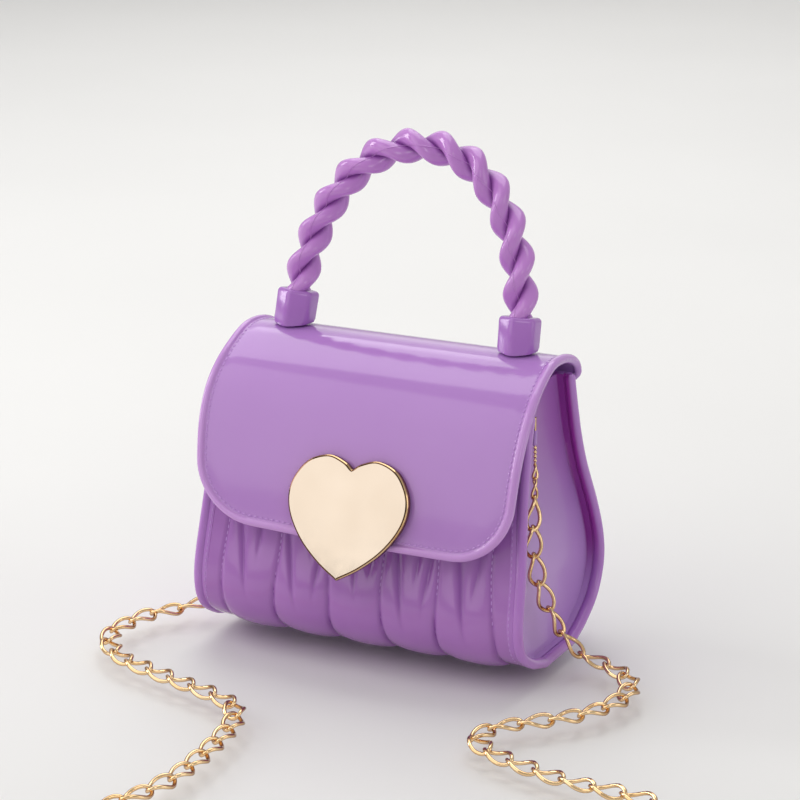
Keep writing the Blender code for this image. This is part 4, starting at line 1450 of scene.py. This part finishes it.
        # Painted shade on the bead's inner side and on its lower lip, growing with height
        inner = rise(-section[:, 1] / radius, *self.piping_deep_up)
        inner = inner * rise(section[:, 0], *self.piping_deep_across)
        inner[len(self.lip_top) + len(bead) :] = 1.0
        deep = inner * rise(spot[:, 1], *self.piping_deep_height)[:, None]
        points = tube_points(path, across, up, rings)
        piping = close_up(grid_piece(f"side_piping_{side.word}", points, deep=deep))
        dress(piping, PIPING_SKIN, Body.BAG, f"edge_bead_{side.word}")
        last = outline.length - self.lip_stitch_margin
        seams = []
        for distance in np.arange(self.lip_stitch_margin, last, self.thread.pitch):
            along = self.thread.ends(distance)
            spot, out = outline.at(along), outline.normal(along)
            x = side.value * (self.lines.half_width(spot[:, 1]) - self.lip_stitch_inset)
            start, end = with_x(x, spot + out * self.lip_stitch_stand)
            seams.append((start, end, Vector((0.0, *out[0]))))
        self.thread.sew(f"piping_stitches_{side.word}", Body.BAG, seams)

    def build_gusset(self, side: Side) -> None:
        """One dished side wall with its flange and the soft fold across its lower part."""
        spot, out = self.lines.round_trip(self.wall_rows)[2:]
        rim = spot - out * (self.lines.sheet / 2.0 + CLEARANCE)
        hub = (spot[0] + spot[-1]) / 2.0
        columns, deep, pale = [self.lines.inside(spot[:, 1])], [], []
        shares = [0.0]
        for span, count in zip(self.wall_shares, self.wall_columns):
            shares.extend(np.linspace(*span, count))
        spots = [rim + (hub - rim) * share for share in shares]
        for point in spots[1:]:
            height = point[:, 1]
            gap = np.linalg.norm(point[:, None, :] - rim[None, :, :], axis=2).min(axis=1)
            sunk = self.wall_sink + self.dish * (1.0 - np.exp(-gap / self.dish_reach))
            crest = self.fold_height - self.fold_curve * point[:, 0] ** 2
            fold = self.fold * hump(height, crest, self.fold_width) * rise(gap, *self.fold_span)
            columns.append(self.lines.half_width(height) - sunk + fold)
            # Painted shadow high up and along the rim, painted light towards the bottom
            wall = rise(gap, *self.rim_shadow) * rise(height, *self.rim_shadow_height)
            shadow = self.shadow_share * rise(height, *self.shadow_span)
            deep.append(np.maximum(shadow, wall))
            pale.append(self.pale_share * rise(height, *self.pale_span) * (1.0 - wall))
        points = with_x(side.value * np.stack(columns, axis=1), np.stack(spots, axis=1))
        tones = [np.stack([tone[0], *tone], axis=1) for tone in (deep, pale)]
        name = f"side_wall_{side.word}"
        wall = grid_piece(name, points, (side.value, 0.0, 0.0), deep=tones[0], pale=tones[1])
        in_edit(wall, lambda: bpy.ops.mesh.remove_doubles(threshold=MERGE_GAP))
        thickness = self.wall_thickness
        finish_with(wall, "SOLIDIFY", thickness=thickness, offset=-1.0, use_even_offset=True)
        dress(wall, GUSSET_SKIN, Body.BAG, f"gusset_{side.word}")

    def build(self) -> None:
        """Makes the body."""
        self.build_front()
        self.build_channel_stitches()
        self.build_base()
        self.build_back()
        for side in Side:
            self.build_gusset(side)
            self.build_piping(side)


# The handle


@dataclass
class TwistedHandle:
    """The arch of two twisted strands on its hexagonal collars, as in the part's source."""

    flap: Flap
    span: float = 0.1026
    rise: float = 0.0790
    sway: float = 0.0020
    fullness: float = 0.93
    depth: float = 0.0038
    seat_height: float = 0.1270
    lean: float = math.radians(12.0)
    strand_radius: float = 0.004
    strand_offset: float = 0.0033
    half_turn: float = 0.0151
    start_turn: float = math.radians(90.0)
    rope_entry: float = 0.0006
    # Shares of the strands' reach between which the valleys take painted shade
    valley_span: Span = (0.62, 0.32)
    # The mould line's section: spread in radians and lift over the strands
    mould_section: Line = (
        (-0.085, -0.0003), (-0.03, 0.00026), (0.03, 0.00026), (0.085, -0.0003), (0.0, -0.0008),
        (-0.085, -0.0003),
    )
    collar_radius: float = 0.0092
    collar_height: float = 0.0142
    collar_corner: float = 0.0030
    collar_soft: float = 0.0019
    # The collar's foot: how much narrower, how much rounder, and the height over the flap's middle
    collar_foot: tuple[tuple[float, float, float], ...] = (
        (0.0011, 0.0030, 0.0016), (0.0003, 0.0022, 0.0020), (0.0, 0.0008, 0.0034),
    )
    top_angles: Span = (18.0, 90.0)
    top_rings: int = 5
    corner_points: int = 7
    rings: int = 480
    sides: int = 60
    arch_steps: int = 1200
    skin_steps: int = 1600
    seat_tolerance: float = 2e-5

    def __post_init__(self) -> None:
        """Finds the direction square to the arch's plane, pointing forward."""
        self.forward = np.array([0.0, -math.cos(self.lean), math.sin(self.lean)])

    def arch(self, angle: Array) -> Array:
        """The middle line at these angles, from 0 at the right seat to a half turn at the left."""
        across, up = np.cos(angle), np.maximum(np.sin(angle), 0.0)
        tall = self.rise * up**self.fullness
        wide = np.sign(across) * np.abs(across) ** self.fullness
        x = self.span / 2.0 * wide + self.sway * up
        y = self.depth + tall * math.sin(self.lean)
        return np.stack([x, y, self.seat_height + tall * math.cos(self.lean)], axis=-1)

    def seat(self, height: float) -> float:
        """The arch angle at which the handle has risen this far above its seat."""
        return math.asin((height / self.rise) ** (1.0 / self.fullness))

    def strand_reach(self, angle: Array) -> Array:
        """How far the strands reach, in directions from the line through both their centres."""
        reach = self.strand_offset * np.abs(np.cos(angle))
        return reach + np.sqrt(self.strand_radius**2 - (self.strand_offset * np.sin(angle)) ** 2)

    def build_rope(self) -> None:
        """The twisted arch with the fine mould lines along its front and back."""
        seat = self.seat(self.collar_height - self.rope_entry)
        track = Track(self.arch(np.linspace(seat, math.pi - seat, self.arch_steps)))
        along = np.linspace(0.0, track.length, self.rings + 1)
        path = track.at(along)
        out = np.tile(self.forward, (len(along), 1))
        side = unit(np.cross(out, track.tangent(along)))
        half_turns = round(track.length / self.half_turn)
        turn = (self.start_turn + math.pi * half_turns * along / track.length)[:, None]
        around = np.linspace(0.0, 2.0 * math.pi, self.sides + 1)
        reach = self.strand_reach(around)
        valley_shade = np.tile(rise(reach / reach.max(), *self.valley_span), (len(along), 1))

        def tube(name: str, angle: Array, distance: Array, **tones: Array) -> Piece:
            """A closed tube whose rings have these angles and distances round the arch."""
            ring = np.stack([distance * np.cos(angle), distance * np.sin(angle)], axis=-1)
            return close_up(grid_piece(name, tube_points(path, side, out, ring), **tones))

        parts = [tube("twisted_rope", around + turn, reach, deep=valley_shade)]
        spread, lift = np.array(self.mould_section).T
        for face in (math.pi / 2.0, -math.pi / 2.0):
            angle = face + spread - turn
            parts.append(tube("mould_line", angle + turn, self.strand_reach(angle) + lift))
        rope = joined("twisted_rope", parts)
        dress(rope, ROPE_SKIN, Body.FLAP, "handle_rope")

    def hexagon(self, radius: float, corner: float, height: float) -> Array:
        """A closed ring round a hexagon with rounded corners, one corner to the front.

        Args:
            radius: From its middle to its corners.
            corner: Its corners' radius.
            height: Its height along the collar.

        Returns:
            The ring's points, by three.
        """
        reach = radius - corner / math.cos(math.radians(30.0))
        points = []
        for middle in range(-90, 270, 60):
            centre = arc(middle, middle, 1, reach)
            points.extend(centre + arc(middle - 30.0, middle + 30.0, self.corner_points, corner))
        points.append(points[0])
        return np.column_stack([points, np.full(len(points), height)])

    def build_collar(self, side: Side) -> None:
        """One collar with its soft top edge, standing just off the flap's curve."""
        seat = self.seat(self.collar_height)
        angles = (0.0, seat) if side is Side.RIGHT else (math.pi, math.pi - seat)
        foot, top = self.arch(np.array(angles))
        up = unit(top - foot)
        front = unit(self.forward - up * np.dot(self.forward, up))
        turn = np.column_stack([-np.cross(up, front), -front, up])
        radius, corner, soft = self.collar_radius, self.collar_corner, self.collar_soft
        level = self.collar_height - soft
        rings = []
        for less, more, _ in self.collar_foot:
            rings.append(self.hexagon(radius - less, corner + more, 0.0))
        rings.append(self.hexagon(radius, corner, level))
        for across, climb in arc(*self.top_angles, self.top_rings, soft):
            shrink = soft - across
            rings.append(self.hexagon(radius - shrink, corner - shrink / 3.0, level + climb))
        world = [foot + ring @ turn.T for ring in rings]
        for index, (_, _, stand) in enumerate(self.collar_foot):
            world[index] = self.seated(world[index], up, stand)
        collar = close_up(grid_piece(f"hex_collar_{side.word}", np.array(world)))
        dress(collar, COLLAR_SKIN, Body.FLAP, f"handle_collar_{side.word}")

    def seated(self, ring: Array, up: Array, stand: float) -> Array:
        """A ring moved along the collar until it stands just off the flap.

        Args:
            ring: The ring's points.
            up: The collar's axis.
            stand: The height over the flap's middle line.

        Returns:
            The moved points.
        """
        track = self.flap.track
        fine = np.linspace(0.0, track.length, self.skin_steps)
        skin = track.at(fine) + track.normal(fine) * stand
        moved = []
        for point in ring:
            offset = skin - point[1:]
            miss = np.abs(offset[:, 0] * up[2] - offset[:, 1] * up[1])
            close = np.where(miss < miss.min() + self.seat_tolerance)[0]
            travel = offset[close] @ up[1:] / (up[1] ** 2 + up[2] ** 2)
            moved.append(point + up * travel[np.argmin(np.abs(travel))])
        return np.array(moved)

    def build(self) -> None:
        """Makes the handle."""
        self.build_rope()
        for side in Side:
            self.build_collar(side)


# The metal


@dataclass
class Hanger:
    """The thin metal strip under the flap's side that carries the chain, in its moulded keeper."""

    depth: float = -0.0190
    reach: float = 0.0693
    top: float = 0.1078
    low: float = 0.0868
    keeper_low: float = 0.0958
    keeper_high: float = 0.1026
    keeper_size: Span = (0.0060, 0.0024)
    keeper_inset: float = 0.0024
    keeper_bevel: float = 0.0009
    twist_length: float = 0.0088
    twist: float = math.radians(900.0)
    rings: int = 90
    # The strip's section: a flat bar of 1.3 by 0.6 mm with slanting edges
    section: Line = (
        (-0.00065, -0.00015), (-0.00065, 0.00015), (-0.000325, 0.0003), (0.000325, 0.0003),
        (0.00065, 0.00015), (0.00065, -0.00015), (0.000325, -0.0003), (-0.000325, -0.0003),
        (-0.00065, -0.00015),
    )

    def build_strip(self, side: Side) -> None:
        """The strip, twisted below the keeper."""
        height = np.linspace(self.top, self.low, self.rings)
        plan = np.full((self.rings, 2), (side.value * self.reach, self.depth))
        path = np.column_stack([plan, height])
        share = (self.low + self.twist_length - height) / self.twist_length
        angle = np.clip(share, 0.0, 1.0) * self.twist
        level = np.zeros(self.rings)
        across = np.column_stack([np.sin(angle), np.cos(angle), level])
        up = np.column_stack([np.cos(angle), -np.sin(angle), level])
        points = tube_points(path, across, up, np.array(self.section))
        strip = close_up(grid_piece(f"hanger_strip_{side.word}", points))
        nodes = (f"strap_tab_{side.word}", f"strap_rivet_{side.word}")
        dress(strip, CHAIN_GOLD, Body.BAG, *nodes)

    def build_keeper(self, side: Side) -> None:
        """The moulded loop on the side wall that the strip passes through."""
        select()
        bpy.ops.mesh.primitive_cube_add(size=1.0)
        keeper = named(bpy.context.object, f"hanger_keeper_{side.word}")
        middle = (self.keeper_low + self.keeper_high) / 2.0
        tall = self.keeper_high - self.keeper_low
        x = side.value * (self.reach - self.keeper_inset)
        place = Matrix.Translation((x, self.depth, middle))
        keeper.data.transform(place @ Matrix.Diagonal((*self.keeper_size, tall, 1.0)))
        finish_with(keeper, "BEVEL", width=self.keeper_bevel, segments=3)
        dress(keeper, GUSSET_SKIN, Body.BAG, angle=40.0)

    def build(self) -> None:
        """Makes both hangers."""
        for side in Side:
            self.build_strip(side)
            self.build_keeper(side)


@dataclass
class HeartPlate:
    """The stamped heart on the flap's hem."""

    width: float = 0.0536
    shift: float = 0.0005
    height: float = 0.0500
    skew: float = 0.022
    depth: float = 0.003
    wall: float = 0.0011
    bevel: float = 0.0009
    dome: float = 0.0005
    face_level: float = -0.0001
    pan_level: float = -0.0012
    tip_height: float = 0.0413
    tip_reach: float = 0.0610
    lean: float = math.radians(17.0)
    hub_share: float = 0.55
    face_shares: tuple[float, ...] = (0.02, 0.2, 0.4, 0.6, 0.75, 0.87, 0.95, 0.99, 1.0)
    shares: Line = (
        (0.0, 0.905), (0.150, 0.962), (0.420, 1.0), (0.740, 0.935), (0.945, 0.785),
        (1.000, 0.630), (0.915, 0.460), (0.680, 0.275), (0.345, 0.115), (0.0, 0.0),
    )

    def outline(self) -> Array:
        """The heart's closed outline in its own plane."""
        half = smooth_line([(x * self.width / 2.0, y * self.height) for x, y in self.shares], 10)
        return np.vstack([half, half[::-1][1:] * (-1.0, 1.0)])

    def inset(self, outline: Array, distance: float) -> Array:
        """The closed outline, clockwise from the notch, moved inwards by a distance."""
        loop = outline[:-1]
        ahead = loop_ways(loop)
        moved = loop + np.stack([ahead[:, 1], -ahead[:, 0]], axis=1) * distance
        moved[0, 0] = moved[len(loop) // 2, 0] = 0.0
        return np.vstack([moved, moved[:1]])

    def placed(self, ring: Array, height: float) -> Array:
        """A ring of the heart's plane in the frame, at a height over the face."""
        up = np.array([0.0, math.sin(self.lean), math.cos(self.lean)])
        out = np.array([0.0, -math.cos(self.lean), math.sin(self.lean)])
        tip = np.array([self.shift, -self.tip_reach, self.tip_height])
        across = (ring[:, :1] + self.skew * ring[:, 1:]) * np.array([1.0, 0.0, 0.0])
        return tip + across + ring[:, 1:] * up + height * out

    def build(self) -> None:
        """The face, the bevel round it and the wall behind it."""
        outline, bevel, back = self.outline(), self.bevel, -self.depth
        middle = np.array([0.0, self.height * self.hub_share])
        inner = self.inset(outline, bevel)
        rings = []
        for share in self.face_shares:
            level = self.dome * (1.0 - share**2) + self.face_level
            rings.append(self.placed(middle + (inner - middle) * share, level))
        face = close_up(grid_piece("heart_face", np.array(rings), (0.0, -1.0, 0.3)))
        # The rim's rings: inset, height, and how deep their tone is, a painted reflection line in
        # the bevel and painted shade on the wall behind
        steps = (
            (bevel, self.face_level, 0.0), (bevel * 0.92, -0.00016, 1.0),
            (bevel * 0.45, -0.0003, 1.0), (bevel * 0.4, -0.00033, 0.0), (0.0, -0.0009, 0.0),
            (0.0, back * 0.45, 0.0), (0.0, back, 0.8), (self.wall, back, 1.0),
            (self.wall, self.pan_level, 1.0), (bevel, self.pan_level, 0.0),
            (bevel, self.face_level, 0.0),
        )
        edge = [self.placed(self.inset(outline, inset), height) for inset, height, _ in steps]
        dark = np.array([[tone] * len(outline) for _, _, tone in steps])
        rim = close_up(grid_piece("heart_rim", np.array(edge), deep=dark))
        dress(face, HEART_GOLD, Body.FLAP, "heart_plate", angle=40.0)
        dress(rim, HEART_EDGE_GOLD, Body.FLAP, angle=30.0)


def refinish_nodes() -> None:
    """Gives the frame's own small fittings a finish with detail."""
    names = ["snap_socket", "snap_stud", "snap_washer"]
    for fitting in ("heart_post", "handle_washer", "handle_screw"):
        names.extend(f"{fitting}_{side.word}" for side in Side)
    for name in names:
        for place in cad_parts[name].material_slots:
            place.material = SNAP_METAL.material()


def main() -> None:
    """Builds every piece in order."""
    logging.basicConfig(level=logging.INFO)
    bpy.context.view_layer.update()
    studio = Studio()
    studio.place_camera()
    ShoulderChain().build()
    BagBody(BodyLines()).build()
    flap = Flap(FlapLines())
    flap.build()
    TwistedHandle(flap).build()
    HeartPlate().build()
    Hanger().build()
    refinish_nodes()
    studio.lay_floor()
    studio.light()


if __name__ == "__main__":
    main()
